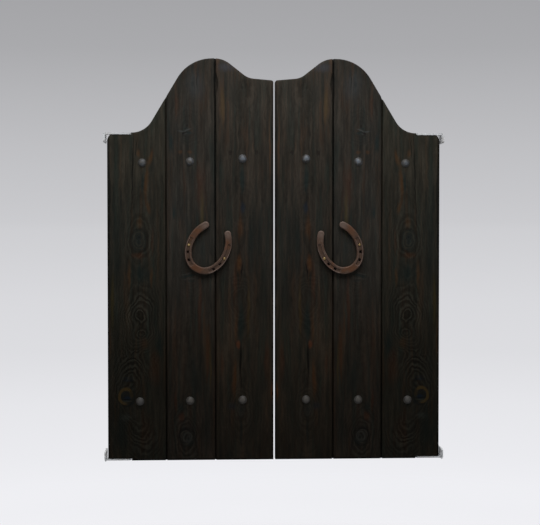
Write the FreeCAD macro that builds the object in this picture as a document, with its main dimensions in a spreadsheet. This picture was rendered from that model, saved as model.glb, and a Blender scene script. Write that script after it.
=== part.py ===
import FreeCAD, Part
import math
import os
import re
import Sketcher

# A pair of double-acting cafe doors for a doorway.
#
# Each leaf is three tongued and grooved planks under one S-curved top, held by two rear battens
# and six carriage bolts, with a nailed horseshoe on the front.  A spring barrel mortised into the
# bottom of the outer plank and a bush in its shoulder turn on pivots riveted to two jamb brackets.
#
# Frame, in millimetres: +X across the doorway, +Y to the rear, +Z up.  The origin lies on the left
# jamb's face, on the screw line of the left lower bracket and in the plane of both pivot axes.
# Pieces are drawn in leaf places: x from the leaf's hinge edge, y from the middle of its thickness,
# z from its bottom edge.  The right-hand pieces are mirror images about the doorway's middle.

SIZES = {
    # outline of the leaf
    "leaf_width": 412,
    "plank_thickness": 28,
    "shoulder_height": 816,
    "crest_rise": 184,
    "valley_drop": 48.5,
    "meeting_drop": 54,
    "shoulder_run": 93,
    "crest_start_inset": 209,
    "crest_end_inset": 125,
    "valley_inset": 63,
    "hinge_corner_radius": 22,
    "shoulder_radius": 57,
    "crest_hinge_radius": 100,
    "crest_meeting_radius": 62,
    "valley_radius": 45,
    "meeting_corner_radius": 6,
    "edge_ease": 2.5,
    # planks and their joints
    "outer_plank_width": 145,
    "middle_plank_width": 122.5,
    "shadow_gap": 4,
    "joint_ease": 1.5,
    "tongue_thickness": 8,
    "tongue_reach": 7,
    "tongue_clearance": 0.2,
    "tongue_end_clearance": 0.6,
    "wane_drop": 63,
    "wane_radius": 92,
    "wane_depth": 4.5,
    "wane_thickness": 11,
    # battens on the rear
    "batten_thickness": 24,
    "batten_height": 100,
    "batten_inset": 22,
    "batten_ease": 3,
    "lower_batten_rise": 149,
    "upper_batten_drop": 70,
    # carriage bolts, placed by hand, so that each has its own place in its row
    "lower_outer_bolt_run": 79.5,
    "upper_outer_bolt_run": 86,
    "middle_bolt_run": 204,
    "inner_bolt_inset": 77,
    "outer_bolt_rise": 148,
    "middle_bolt_rise": 149,
    "inner_bolt_rise": 150.5,
    "outer_bolt_drop": 75,
    "middle_bolt_drop": 71.5,
    "inner_bolt_drop": 64.5,
    "bolt_radius": 4,
    "bolt_head_radius": 10.2,
    "bolt_head_height": 4.7,
    "bolt_crown_radius": 3.6,
    "bolt_brow_radius": 7.6,
    "bolt_brow_height": 2.8,
    "bolt_neck_width": 8,
    "bolt_neck_length": 5,
    "bolt_clearance": 0.2,
    "bolt_protrusion": 2,
    "nut_flange_radius": 9,
    "nut_flange_thickness": 1.8,
    "nut_across_corners": 15,
    "nut_thickness": 8,
    "nut_clearance": 0.05,
    # horseshoe
    "shoe_run": 241,
    "shoe_rise": 514,
    "shoe_tilt": 27.5,
    "shoe_web": 17,
    "shoe_thickness": 9,
    "shoe_ease": 1.8,
    "toe_radius": 41,
    "toe_half_angle": 58,
    "branch_radius": 78,
    "left_branch_angle": 68.5,
    "right_branch_angle": 73,
    "fuller_width": 8,
    "fuller_depth": 2.5,
    # how far each branch's fuller runs about the toe's centre, and about the branch's own
    "left_fuller_toe_angle": 36.5,
    "left_fuller_branch_angle": 34,
    "right_fuller_toe_angle": 18.5,
    "right_fuller_branch_angle": 54,
    # nail holes, from the toe; the right branch is nailed nearer to its rim
    "left_first_hole_angle": 43,
    "left_second_hole_angle": 64.5,
    "left_nail_angle": 77.5,
    "right_first_hole_angle": 58,
    "right_second_hole_angle": 72.5,
    "right_nail_angle": 85,
    "left_nailing_shift": 1,
    "right_nailing_shift": 2,
    "nail_hole_length": 7,
    "nail_hole_width": 4.4,
    "nail_radius": 1.5,
    "nail_clearance": 0.1,
    "nail_head_radius": 3.6,
    "nail_crown_radius": 2.2,
    "nail_head_height": 2.4,
    "nail_bite": 22,
    # doorway and jamb brackets
    "meeting_gap": 4.5,
    "edge_gap": 4,
    "pivot_inset": 45,
    "bracket_thickness": 4,
    "bracket_plate_width": 64,
    "bracket_plate_height": 25,
    "bracket_plate_round": 5,
    "bracket_bend_radius": 6,
    "bracket_fold_radius": 2,
    "arm_width": 25,
    "arm_end_round": 11,
    "arm_reveal": 0.5,
    "arm_end_clearance": 1.5,
    "screw_height": 15.5,
    "screw_spacing": 44,
    "screw_hole_radius": 2.6,
    "screw_sink_radius": 5,
    "screw_sink_depth": 2.4,
    # pivots
    "running_gap": 0.2,
    "thrust_washer_thickness": 0.8,
    "thrust_washer_radius": 10,
    "thrust_washer_clearance": 0.2,
    "pivot_radius": 5,
    "pivot_clearance": 0.05,
    "rivet_radius": 4,
    "rivet_clearance": 0.05,
    "pin_length": 24,
    "bush_wall": 3,
    "bush_length": 26,
    "mortise_clearance": 0.1,
    # spring barrel, spindle and spring
    "barrel_wall": 1.8,
    "barrel_web": 5,
    "barrel_cap": 3,
    "flange_thickness": 2.5,
    "flange_width": 22,
    "flange_start": 6,
    "flange_end": 57,
    "flange_clearance": 0.3,
    "outer_flange_screw_run": 13,
    "inner_flange_screw_run": 27,
    "flange_screw_radius": 1.7,
    "flange_screw_head_radius": 3.4,
    "flange_screw_length": 25,
    "flange_screw_clearance": 0.1,
    "spindle_radius": 4,
    "spindle_top_gap": 3,
    "spindle_slot_width": 2.2,
    "spindle_lip": 2,
    "spring_wire": 1.8,
    "spring_clearance": 0.1,
    "spring_room": 0.3,
    "spring_pitch": 10,
    "spring_turns": 4,
    "spring_seat_gap": 0.4,
    "spring_anchor_depth": 3,
    "spring_anchor_width": 2.2,
}

# heights and distances that several pieces share
LEAF_TOP = "shoulder_height + crest_rise"
FRONT = "-plank_thickness / 2"
REAR = "plank_thickness / 2"
BATTEN_REAR = "plank_thickness / 2 + batten_thickness"
JAMB_FACE = "-bracket_thickness - edge_gap"
REBATE_DEPTH = "(arm_reveal + bracket_thickness + thrust_washer_thickness + running_gap)"
REBATE_RUN = "(pivot_inset + arm_width / 2 + arm_end_clearance)"
BUSH_RADIUS = "(pivot_radius + bush_wall)"
SPRING_RADIUS = "(pivot_radius + spring_clearance + spring_wire / 2)"
BARREL_BORE = f"({SPRING_RADIUS} + spring_wire / 2 + spring_room)"
BARREL_RADIUS = f"({BARREL_BORE} + barrel_wall)"
SPRING_FOOT = f"({REBATE_DEPTH} + barrel_web + spring_seat_gap)"
SPRING_HEAD = f"({SPRING_FOOT} + spring_pitch * spring_turns)"
SPINDLE_TIP = f"({SPRING_HEAD} + spring_wire + spindle_lip)"
BARREL_TOP = f"({SPINDLE_TIP} + spindle_top_gap + barrel_cap)"
FIRST_JOINT = "outer_plank_width"
SECOND_JOINT = "outer_plank_width + middle_plank_width"

# x and z of each bolt, lower row first
BOLT_PLACES = [
    ("lower_outer_bolt_run", "outer_bolt_rise"),
    ("middle_bolt_run", "middle_bolt_rise"),
    ("leaf_width - inner_bolt_inset", "inner_bolt_rise"),
    ("upper_outer_bolt_run", "shoulder_height - outer_bolt_drop"),
    ("middle_bolt_run", "shoulder_height - middle_bolt_drop"),
    ("leaf_width - inner_bolt_inset", "shoulder_height - inner_bolt_drop"),
]

# the shoe's branches, as the sign of x on each
SHOE_HANDS = {"left": "-1", "right": "1"}

# arc, hand, angle from the toe and shift towards the rim of each hole in the horseshoe
NAIL_HOLES = [
    ("toe", "-1", "left_first_hole_angle", "left_nailing_shift"),
    ("branch", "-1", "left_second_hole_angle", "left_nailing_shift"),
    ("branch", "-1", "left_nail_angle", "left_nailing_shift"),
    ("toe", "1", "right_first_hole_angle", "right_nailing_shift"),
    ("branch", "1", "right_second_hole_angle", "right_nailing_shift"),
    ("branch", "1", "right_nail_angle", "right_nailing_shift"),
]

# x and z of each flange screw
FLANGE_SCREW_PLACES = [("outer_flange_screw_run", "0"), ("inner_flange_screw_run", "0")]

UPRIGHT = FreeCAD.Rotation()
ALONG_X = FreeCAD.Rotation(FreeCAD.Vector(0, 1, 0), 90)
ALONG_Y = FreeCAD.Rotation(FreeCAD.Vector(1, 0, 0), -90)
FACING_FRONT = FreeCAD.Rotation(FreeCAD.Vector(1, 0, 0), 90)


# ---------------------------------------------------------------- sizes and expressions

def make_sheet(document):
    """Write every size into the spreadsheet, one row each, with its name as the alias."""
    new_sheet = document.addObject("Spreadsheet::Sheet", "Sizes")
    for row, (name, amount) in enumerate(SIZES.items(), start=1):
        new_sheet.set(f"A{row}", name)
        new_sheet.set(f"B{row}", str(amount))
        new_sheet.setAlias(f"B{row}", name)
    document.recompute()
    return new_sheet


def sized(text):
    """Return the expression with each size's name pointing at the sheet."""
    return re.sub(r"[a-z_]+", lambda word: ("Sizes." if word[0] in SIZES else "") + word[0], text)


def value(text):
    """Return what the expression comes to now."""
    return float(sheet.evalExpression(sized(text)))


def bind(feature, **expressions):
    """Tie the feature's properties to expressions of the sizes."""
    for name, text in expressions.items():
        feature.setExpression(name, sized(text))


def place(feature, x="0", y="0", z="0", turn=UPRIGHT):
    """Put the feature at a place given by three expressions, and keep it tied to them."""
    feature.Placement = FreeCAD.Placement(FreeCAD.Vector(value(x), value(y), value(z)), turn)
    for axis, text in (("x", x), ("y", y), ("z", z)):
        if text != "0":
            feature.setExpression(f"Placement.Base.{axis}", sized(text))
    return feature


# ---------------------------------------------------------------- sketches

def new_sketch(body, plane, name):
    """Return an empty sketch on one of the body's own origin planes."""
    sketch = body.newObject("Sketcher::SketchObject", name)
    support = next(item for item in body.Origin.OriginFeatures if item.Role == plane)
    sketch.AttachmentSupport = [(support, "")]
    sketch.MapMode = "FlatFace"
    return sketch


def drive(sketch, constraint, text):
    """Add a constraint whose datum follows an expression."""
    index = sketch.addConstraint(constraint)
    sketch.setExpression(f"Constraints[{index}]", sized(text))


def pin(sketch, geometry, point, x, y):
    """Hold one point of a sketch at its expressions for x and y."""
    for kind, text, axis in (("DistanceX", x, -2), ("DistanceY", y, -1)):
        amount = value(text)
        if abs(amount) < 1e-9:
            sketch.addConstraint(Sketcher.Constraint("PointOnObject", geometry, point, axis))
        else:
            drive(sketch, Sketcher.Constraint(kind, -1, 1, geometry, point, amount), text)


def round_corner(sketch, corner, spot, start, end, before, after):
    """Join two lines by a tangent arc; start and end are where the arc leaves them."""
    radius = value(corner[2])
    bisector = (start - spot).normalize() + (end - spot).normalize()
    half_angle = (start - spot).getAngle(end - spot) / 2
    centre = spot + bisector.normalize() * (radius / math.sin(half_angle))
    turns_left = (spot - start).cross(end - spot).z > 0
    first, last = (start, end) if turns_left else (end, start)
    angle_1 = math.atan2(first.y - centre.y, first.x - centre.x)
    angle_2 = math.atan2(last.y - centre.y, last.x - centre.x)
    if angle_2 < angle_1:
        angle_2 += 2 * math.pi
    circle = Part.Circle(centre, FreeCAD.Vector(0, 0, 1), radius)
    arc = sketch.addGeometry(Part.ArcOfCircle(circle, angle_1, angle_2))
    near, far = (1, 2) if turns_left else (2, 1)
    sketch.addConstraint(Sketcher.Constraint("Tangent", before, 2, arc, near))
    sketch.addConstraint(Sketcher.Constraint("Tangent", arc, far, after, 1))
    drive(sketch, Sketcher.Constraint("Radius", arc, radius), corner[2])
    point = sketch.addGeometry(Part.Point(spot), True)
    pin(sketch, point, 1, corner[0], corner[1])
    for line in (before, after):
        sketch.addConstraint(Sketcher.Constraint("PointOnObject", point, 1, line))


def draw(sketch, corners):
    """Draw a closed outline.  Each corner is (x, y), or (x, y, radius) where it is rounded."""
    count = len(corners)
    spots = [FreeCAD.Vector(value(corner[0]), value(corner[1]), 0) for corner in corners]
    ends = []
    for index, corner in enumerate(corners):
        back = (spots[index - 1] - spots[index]).normalize()
        ahead = (spots[(index + 1) % count] - spots[index]).normalize()
        rounded = len(corner) == 3
        reach = value(corner[2]) / math.tan(back.getAngle(ahead) / 2) if rounded else 0
        ends.append((spots[index] + back * reach, spots[index] + ahead * reach))
    lines = []
    for index in range(count):
        run = Part.LineSegment(ends[index][1], ends[(index + 1) % count][0])
        lines.append(sketch.addGeometry(run))
    for index, corner in enumerate(corners):
        before, after = lines[index - 1], lines[index]
        if len(corner) == 3:
            start, end = ends[index]
            round_corner(sketch, corner, spots[index], start, end, before, after)
        else:
            sketch.addConstraint(Sketcher.Constraint("Coincident", before, 2, after, 1))
            pin(sketch, after, 1, corner[0], corner[1])


def new_body(name):
    """Return an empty body."""
    return doc.addObject("PartDesign::Body", name)


def padded(name, plane, corners, length, both_ways=False):
    """Return a body that is one outline, padded off a plane or to both sides of it."""
    body = new_body(name)
    sketch = new_sketch(body, plane, f"{name}_outline")
    draw(sketch, corners)
    pad = body.newObject("PartDesign::Pad", f"{name}_pad")
    pad.Profile = sketch
    pad.Midplane = both_ways
    bind(pad, Length=length)
    return body


def ease(body, name, size, is_wanted):
    """Chamfer the edges round each of the body's faces whose normal is wanted."""
    doc.recompute()
    base = body.Tip
    faces = enumerate(base.Shape.Faces, start=1)
    wanted = [f"Face{number}" for number, face in faces if is_wanted(face.normalAt(0, 0))]
    chamfer = body.newObject("PartDesign::Chamfer", name)
    chamfer.Base = (base, wanted)
    bind(chamfer, Size=size)


def turned(name, plane, corners):
    """Return a body turned about the vertical axis of its profile's plane."""
    body = new_body(name)
    sketch = new_sketch(body, plane, f"{name}_profile")
    draw(sketch, corners)
    revolution = body.newObject("PartDesign::Revolution", f"{name}_turned")
    revolution.Profile = sketch
    revolution.ReferenceAxis = (sketch, ["V_Axis"])
    return body


# ---------------------------------------------------------------- primitives and booleans

def box(name, length, width, height, x="0", y="0", z="0"):
    """Return a box by its sides and its lowest corner."""
    feature = doc.addObject("Part::Box", name)
    bind(feature, Length=length, Width=width, Height=height)
    return place(feature, x, y, z)


def cylinder(name, radius, height, x="0", y="0", z="0", turn=UPRIGHT):
    """Return a cylinder that rises from a place along its own axis."""
    feature = doc.addObject("Part::Cylinder", name)
    bind(feature, Radius=radius, Height=height)
    return place(feature, x, y, z, turn)


def cut(name, base, tool):
    """Return the base less the tool."""
    feature = doc.addObject("Part::Cut", name)
    feature.Base = base
    feature.Tool = tool
    return feature


def common(name, base, tool):
    """Return what two pieces share."""
    feature = doc.addObject("Part::Common", name)
    feature.Base = base
    feature.Tool = tool
    return feature


def fuse(name, pieces):
    """Return several touching pieces as one."""
    feature = doc.addObject("Part::MultiFuse", name)
    feature.Shapes = pieces
    feature.Refine = True
    return feature


def group(name, pieces):
    """Return several separate pieces as one group."""
    feature = doc.addObject("Part::Compound", name)
    feature.Links = pieces
    return feature


def repeat(name, piece, places):
    """Return a group of the piece's copies, one at each x and z."""
    copies = []
    for number, (x, z) in enumerate(places, start=1):
        copy = doc.addObject("App::Link", f"{name}_{number}")
        copy.LinkedObject = piece
        copy.LinkTransform = True
        copies.append(place(copy, x, "0", z))
    return group(name, copies)


def swing(name, piece, places):
    """Return a group of the piece's copies, one at each x and y, turned about the upright axis."""
    copies = []
    for number, (x, y, angle) in enumerate(places, start=1):
        copy = doc.addObject("App::Link", f"{name}_{number}")
        copy.LinkedObject = piece
        copy.LinkTransform = True
        place(copy, x, y, "0", FreeCAD.Rotation(FreeCAD.Vector(0, 0, 1), value(angle)))
        copy.setExpression("Placement.Rotation.Angle", sized(angle))
        copies.append(copy)
    return group(name, copies)


def eased(kind, name, base, size, is_wanted):
    """Return the base with its wanted edges filleted or chamfered, as the kind says."""
    doc.recompute()
    amount = value(size)
    edges = enumerate(base.Shape.Edges, start=1)
    feature = doc.addObject(kind, name)
    feature.Base = base
    feature.Edges = [(number, amount, amount) for number, edge in edges if is_wanted(edge)]
    return feature


# ---------------------------------------------------------------- planks

def leaf_outline():
    """Return the whole leaf as one board, with its S-curved top and eased edges."""
    corners = [
        ("0", "0"),
        ("leaf_width", "0"),
        ("leaf_width", f"{LEAF_TOP} - meeting_drop", "meeting_corner_radius"),
        ("leaf_width - valley_inset", f"{LEAF_TOP} - valley_drop", "valley_radius"),
        ("leaf_width - crest_end_inset", LEAF_TOP, "crest_meeting_radius"),
        ("leaf_width - crest_start_inset", LEAF_TOP, "crest_hinge_radius"),
        ("shoulder_run", "shoulder_height", "shoulder_radius"),
        ("0", "shoulder_height", "hinge_corner_radius"),
    ]
    body = padded("leaf_outline", "XZ_Plane", corners, "plank_thickness", both_ways=True)
    ease(body, "leaf_edge_ease", "edge_ease", lambda normal: abs(normal.y) > 0.99)
    return body


def plain_edge(x):
    """Return the two corners of a plank's plain edge, front first."""
    return [(x, FRONT), (x, REAR)]


def tongued_edge(joint):
    """Return the corners of an edge with a tongue, front first."""
    face = f"{joint} - shadow_gap / 2"
    tip = f"{joint} + tongue_reach"
    return [
        (f"{face} - joint_ease", FRONT),
        (face, f"{FRONT} + joint_ease"),
        (face, "-tongue_thickness / 2"),
        (tip, "-tongue_thickness / 2"),
        (tip, "tongue_thickness / 2"),
        (face, "tongue_thickness / 2"),
        (face, f"{REAR} - joint_ease"),
        (f"{face} - joint_ease", REAR),
    ]


def grooved_edge(joint):
    """Return the corners of an edge with the groove that takes the tongue, rear first."""
    face = f"{joint} + shadow_gap / 2"
    bottom = f"{joint} + tongue_reach + tongue_end_clearance"
    return [
        (f"{face} + joint_ease", REAR),
        (face, f"{REAR} - joint_ease"),
        (face, "tongue_thickness / 2 + tongue_clearance"),
        (bottom, "tongue_thickness / 2 + tongue_clearance"),
        (bottom, "-tongue_thickness / 2 - tongue_clearance"),
        (face, "-tongue_thickness / 2 - tongue_clearance"),
        (face, f"{FRONT} + joint_ease"),
        (f"{face} + joint_ease", FRONT),
    ]


def plank(name, outline, corners, tool):
    """Return a plank: its moulded section, cut to the leaf's outline and then mortised."""
    stick = padded(f"{name}_stick", "XY_Plane", corners, LEAF_TOP)
    sawn = common(f"{name}_sawn", outline, stick)
    return cut(name, sawn, tool)


def rebate(name, z, height):
    """Return the cutter that lets a bracket's arm swing flush in the end of the outer plank."""
    run = f"{REBATE_RUN} + edge_gap"
    return box(name, run, "2 * plank_thickness", height, "-edge_gap", "-plank_thickness", z)


def outer_plank(outline, bolt_bores):
    """Return the hinge-side plank, with its rebates and the mortises of both pivots."""
    seat = REBATE_DEPTH
    shoulder_seat = f"shoulder_height - {REBATE_DEPTH}"
    bush_bottom = f"{shoulder_seat} - bush_length - mortise_clearance"
    mortises = fuse("outer_plank_mortises", [
        rebate("lower_rebate", "-edge_gap", f"{REBATE_DEPTH} + edge_gap"),
        rebate("upper_rebate", shoulder_seat, REBATE_DEPTH),
        flange_plate("flange_recess", "flange_clearance", "0", f"{seat} + flange_thickness"),
        cylinder("barrel_mortise", f"{BARREL_RADIUS} + mortise_clearance",
                 f"{BARREL_TOP} - {seat} + mortise_clearance", "pivot_inset", "0", seat),
        cylinder("bush_mortise", f"{BUSH_RADIUS} + mortise_clearance",
                 "bush_length + 2 * mortise_clearance", "pivot_inset", "0", bush_bottom),
        repeat("flange_screw_pilots", cylinder(
            "flange_screw_pilot", "flange_screw_radius + flange_screw_clearance",
            "flange_screw_length + flange_screw_clearance", "0", "0", seat), FLANGE_SCREW_PLACES),
    ])
    corners = tongued_edge(FIRST_JOINT) + plain_edge("0")[::-1]
    bored = plank("outer_plank_bored", outline, corners, bolt_bores)
    return cut("outer_plank", bored, mortises)


def middle_plank(outline, bores):
    """Return the plank under the crest, grooved on the hinge side and tongued on the other."""
    corners = tongued_edge(SECOND_JOINT) + grooved_edge(FIRST_JOINT)
    return plank("middle_plank", outline, corners, bores)


def inner_plank(outline, bores):
    """Return the meeting plank, with the natural wane on its joint edge below the crest."""
    corners = plain_edge("leaf_width") + grooved_edge(SECOND_JOINT)
    wane_x = f"{SECOND_JOINT} + shadow_gap / 2 + wane_depth - wane_radius"
    wane = cylinder("wane", "wane_radius", "wane_thickness + edge_gap", wane_x,
                    f"{FRONT} - edge_gap", f"{LEAF_TOP} - wane_drop", ALONG_Y)
    return cut("inner_plank", plank("inner_plank_bored", outline, corners, bores), wane)


def batten(name, z, bores):
    """Return a batten across the rear of the planks, centred on height z, and bored."""
    corners = [
        ("batten_inset", f"{z} - batten_height / 2"),
        ("leaf_width - batten_inset", f"{z} - batten_height / 2"),
        ("leaf_width - batten_inset", f"{z} + batten_height / 2"),
        ("batten_inset", f"{z} + batten_height / 2"),
    ]
    body = padded(f"{name}_blank", "XZ_Plane", corners, "batten_thickness")
    body.Tip.Reversed = True
    place(body, "0", REAR, "0")
    ease(body, f"{name}_ease", "batten_ease", lambda normal: normal.y > 0.99)
    return cut(name, body, bores)


# ---------------------------------------------------------------- bolts

def carriage_bolt():
    """Return one carriage bolt: a domed head on the front face, a square neck and a shank."""
    end = f"{BATTEN_REAR} + nut_thickness + bolt_protrusion"
    shank = turned("bolt_turned", "XY_Plane", [
        ("0", f"{FRONT} - bolt_head_height"),
        ("bolt_crown_radius", f"{FRONT} - bolt_head_height"),
        ("bolt_brow_radius", f"{FRONT} - bolt_brow_height"),
        ("bolt_head_radius", FRONT),
        ("bolt_radius", FRONT),
        ("bolt_radius", end),
        ("0", end),
    ])
    neck = box("bolt_neck", "bolt_neck_width", "bolt_neck_length", "bolt_neck_width",
               "-bolt_neck_width / 2", FRONT, "-bolt_neck_width / 2")
    return fuse("carriage_bolt", [shank, neck])


def bolt_bore():
    """Return the cutter for one bolt, through a plank and its batten."""
    hole = cylinder("bolt_hole", "bolt_radius + bolt_clearance",
                    "plank_thickness + batten_thickness + 2 * edge_gap",
                    "0", f"{FRONT} - edge_gap", "0", ALONG_Y)
    side = "bolt_neck_width + 2 * bolt_clearance"
    corner = "-bolt_neck_width / 2 - bolt_clearance"
    socket = box("bolt_neck_socket", side, "bolt_neck_length + bolt_clearance + edge_gap", side,
                 corner, f"{FRONT} - edge_gap", corner)
    return fuse("bolt_bore", [hole, socket])


def flange_nut():
    """Return one hexagon nut with the washer flange that bears on its batten."""
    hexagon = doc.addObject("Part::Prism", "nut_hexagon")
    hexagon.Polygon = 6
    bind(hexagon, Circumradius="nut_across_corners / 2", Height="nut_thickness")
    place(hexagon, "0", BATTEN_REAR, "0", ALONG_Y)
    flange = cylinder("nut_flange", "nut_flange_radius", "nut_flange_thickness",
                      "0", BATTEN_REAR, "0", ALONG_Y)
    thread = cylinder("nut_thread", "bolt_radius + nut_clearance", "nut_thickness",
                      "0", BATTEN_REAR, "0", ALONG_Y)
    return cut("flange_nut", fuse("nut_blank", [hexagon, flange]), thread)


# ---------------------------------------------------------------- horseshoe

def shoe_arc(arc, hand):
    """Return the centre's x and y and the radius of one arc of the shoe's middle line.

    The hand is 1 on the right branch and -1 on the left one.  A branch's arc is tangent to the
    toe's at the toe's half angle.
    """
    if arc == "toe":
        return "0", "0", "toe_radius"
    spread = "(branch_radius - toe_radius)"
    return f"-({hand}) * {spread} * sin(toe_half_angle)", f"{spread} * cos(toe_half_angle)", "branch_radius"


def on_shoe(arc, hand, angle, shift="0"):
    """Return x and y of a point on an arc, at an angle from the toe, shifted towards the rim."""
    x, y, radius = shoe_arc(arc, hand)
    reach = f"({radius} + {shift})"
    return f"({x} + {hand} * {reach} * sin({angle}))", f"({y} - {reach} * cos({angle}))"


def bar_sector(name, arc, hand, first, last, width, z, height, shift="0"):
    """Return a flat bar bent along one arc of the shoe, between two angles from the toe."""
    x, y, radius = shoe_arc(arc, hand)
    start = f"270 + {first}" if hand == "1" else f"270 - ({last})"
    turn = FreeCAD.Rotation(FreeCAD.Vector(0, 0, 1), value(start))
    solids = []
    for kind, reach in (("outside", f"{width} / 2"), ("inside", f"-{width} / 2")):
        solid = cylinder(f"{name}_{kind}", f"{radius} + {shift} + {reach}", height, x, y, z, turn)
        bind(solid, Angle=f"{last} - ({first})")
        solids.append(solid)
    return cut(name, *solids)


def fuller(side, hand):
    """Return the cutter for the groove that one branch's nails are driven in."""
    bed = "shoe_thickness - fuller_depth"
    depth = "2 * fuller_depth"
    toe_start = f"toe_half_angle - {side}_fuller_toe_angle"
    branch_end = f"toe_half_angle + {side}_fuller_branch_angle"
    shift = f"{side}_nailing_shift"
    return [
        bar_sector(f"{side}_toe_fuller", "toe", hand, toe_start, "toe_half_angle",
                   "fuller_width", bed, depth, shift),
        bar_sector(f"{side}_branch_fuller", "branch", hand, "toe_half_angle", branch_end,
                   "fuller_width", bed, depth, shift),
    ]


def horseshoe():
    """Return the horseshoe: a rounded toe, two flatter branches and rounded heels."""
    bars = [bar_sector("shoe_toe", "toe", "1", "-toe_half_angle", "toe_half_angle",
                       "shoe_web", "0", "shoe_thickness")]
    for side, hand in SHOE_HANDS.items():
        end = f"toe_half_angle + {side}_branch_angle"
        bars.append(bar_sector(f"shoe_{side}_branch", "branch", hand, "toe_half_angle", end,
                               "shoe_web", "0", "shoe_thickness"))
        bars.append(cylinder(f"shoe_{side}_heel", "shoe_web / 2", "shoe_thickness",
                             *on_shoe("branch", hand, end)))
    blank = fuse("shoe_blank", bars)
    face_height = value("shoe_thickness")

    def is_on_face(edge):
        return edge.BoundBox.ZMin > face_height - 0.01

    forged = eased("Part::Chamfer", "shoe_forged", blank, "shoe_ease", is_on_face)
    fullers = fuse("shoe_fullers", [
        groove for side, hand in SHOE_HANDS.items() for groove in fuller(side, hand)])
    punch = box("nail_punch", "nail_hole_length", "nail_hole_width", "shoe_thickness + fuller_depth",
                "-nail_hole_length / 2", "-nail_hole_width / 2", "-fuller_depth / 2")
    holes = swing("nail_holes", punch, [
        (*on_shoe(arc, hand, angle, shift), f"{hand} * {angle}") for arc, hand, angle, shift in NAIL_HOLES])
    shoe = cut("horseshoe", cut("shoe_fullered", forged, fullers), holes)
    tilt = FreeCAD.Rotation(FreeCAD.Vector(0, 0, 1), -value("shoe_tilt"))
    return place(shoe, "shoe_run", FRONT, "shoe_rise", FACING_FRONT.multiply(tilt))


def nail_places():
    """Return x and z of the two nails, one in the last hole of each branch."""
    places = []
    for arc, hand, angle, shift in NAIL_HOLES:
        if angle in ("left_nail_angle", "right_nail_angle"):
            x, y = on_shoe(arc, hand, angle, shift)
            places.append((f"shoe_run + {x} * cos(shoe_tilt) + {y} * sin(shoe_tilt)",
                           f"shoe_rise - {x} * sin(shoe_tilt) + {y} * cos(shoe_tilt)"))
    return places


def shoe_nail():
    """Return one nail, its head in the fuller and its shank through the shoe into the plank."""
    seat = f"{FRONT} - shoe_thickness + fuller_depth"
    tip = f"{FRONT} + nail_bite"
    return turned("shoe_nail", "XY_Plane", [
        ("0", f"{seat} - nail_head_height"),
        ("nail_crown_radius", f"{seat} - nail_head_height"),
        ("nail_head_radius", seat),
        ("nail_radius", seat),
        ("nail_radius", tip),
        ("0", tip),
    ])


def nail_bore():
    """Return the cutter for one nail in the planks."""
    return cylinder("nail_bore", "nail_radius + nail_clearance", "nail_bite + nail_clearance + edge_gap",
                    "0", f"{FRONT} - edge_gap", "0", ALONG_Y)


# ---------------------------------------------------------------- jamb brackets

def lower_bracket():
    """Return the lower bracket: flat bar bent to a plate for the jamb and an arm under the leaf."""
    face = f"({JAMB_FACE})"
    leaf_side = f"{face} + bracket_thickness"
    arm_end = "pivot_inset + arm_width / 2"
    arm_top = "arm_reveal + bracket_thickness"
    plate_top = "arm_reveal + bracket_plate_height"
    bar = padded("bracket_bar", "XZ_Plane", [
        (face, "arm_reveal", "bracket_bend_radius"),
        (arm_end, "arm_reveal"),
        (arm_end, arm_top),
        (leaf_side, arm_top, "bracket_fold_radius"),
        (leaf_side, plate_top),
        (face, plate_top),
    ], "bracket_plate_width", both_ways=True)
    plan = padded("bracket_plan", "XY_Plane", [
        (face, "-bracket_plate_width / 2"),
        (leaf_side, "-bracket_plate_width / 2"),
        (leaf_side, "-arm_width / 2"),
        (arm_end, "-arm_width / 2", "arm_end_round"),
        (arm_end, "arm_width / 2", "arm_end_round"),
        (leaf_side, "arm_width / 2"),
        (leaf_side, "bracket_plate_width / 2"),
        (face, "bracket_plate_width / 2"),
    ], "bracket_plate_height + 2 * arm_reveal")
    bent = common("bracket_bent", bar, plan)
    top = value(plate_top)
    reach = value("bracket_plate_width / 2")

    def is_plate_corner(edge):
        box_of_edge = edge.BoundBox
        along_x = box_of_edge.XLength > 1 and box_of_edge.YLength < 0.01
        return along_x and box_of_edge.ZMin > top - 0.01 and abs(abs(box_of_edge.YMin) - reach) < 0.01

    finished = eased("Part::Fillet", "bracket_eased", bent, "bracket_plate_round", is_plate_corner)
    return cut("lower_bracket_bored", finished, group("bracket_holes", [
        cylinder("rivet_hole", "rivet_radius + rivet_clearance", "bracket_thickness + 2 * arm_reveal",
                 "pivot_inset"),
        screw_cutter("front_screw_cutter", "-screw_spacing / 2"),
        screw_cutter("rear_screw_cutter", "screw_spacing / 2"),
    ]))


def screw_cutter(name, y):
    """Return the countersunk hole for one jamb screw, sunk from the leaf's side of the plate."""
    z = "arm_reveal + screw_height"
    hole = cylinder(f"{name}_hole", "screw_hole_radius", "bracket_thickness + edge_gap",
                    f"{JAMB_FACE} - edge_gap / 2", y, z, ALONG_X)
    sink = doc.addObject("Part::Cone", f"{name}_sink")
    bind(sink, Radius1="screw_hole_radius", Radius2="screw_sink_radius", Height="screw_sink_depth")
    place(sink, "-edge_gap - screw_sink_depth", y, z, ALONG_X)
    return fuse(name, [hole, sink])


def upper_bracket(lower):
    """Return the upper bracket: the lower one turned over, its arm flush with the shoulder."""
    bracket = doc.addObject("Part::Mirroring", "upper_bracket_turned")
    bracket.Source = lower
    bracket.Normal = (0, 0, 1)
    bracket.setExpression("Base.z", sized("shoulder_height / 2"))
    return group("upper_jamb_bracket", [bracket])


# ---------------------------------------------------------------- pivots

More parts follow.
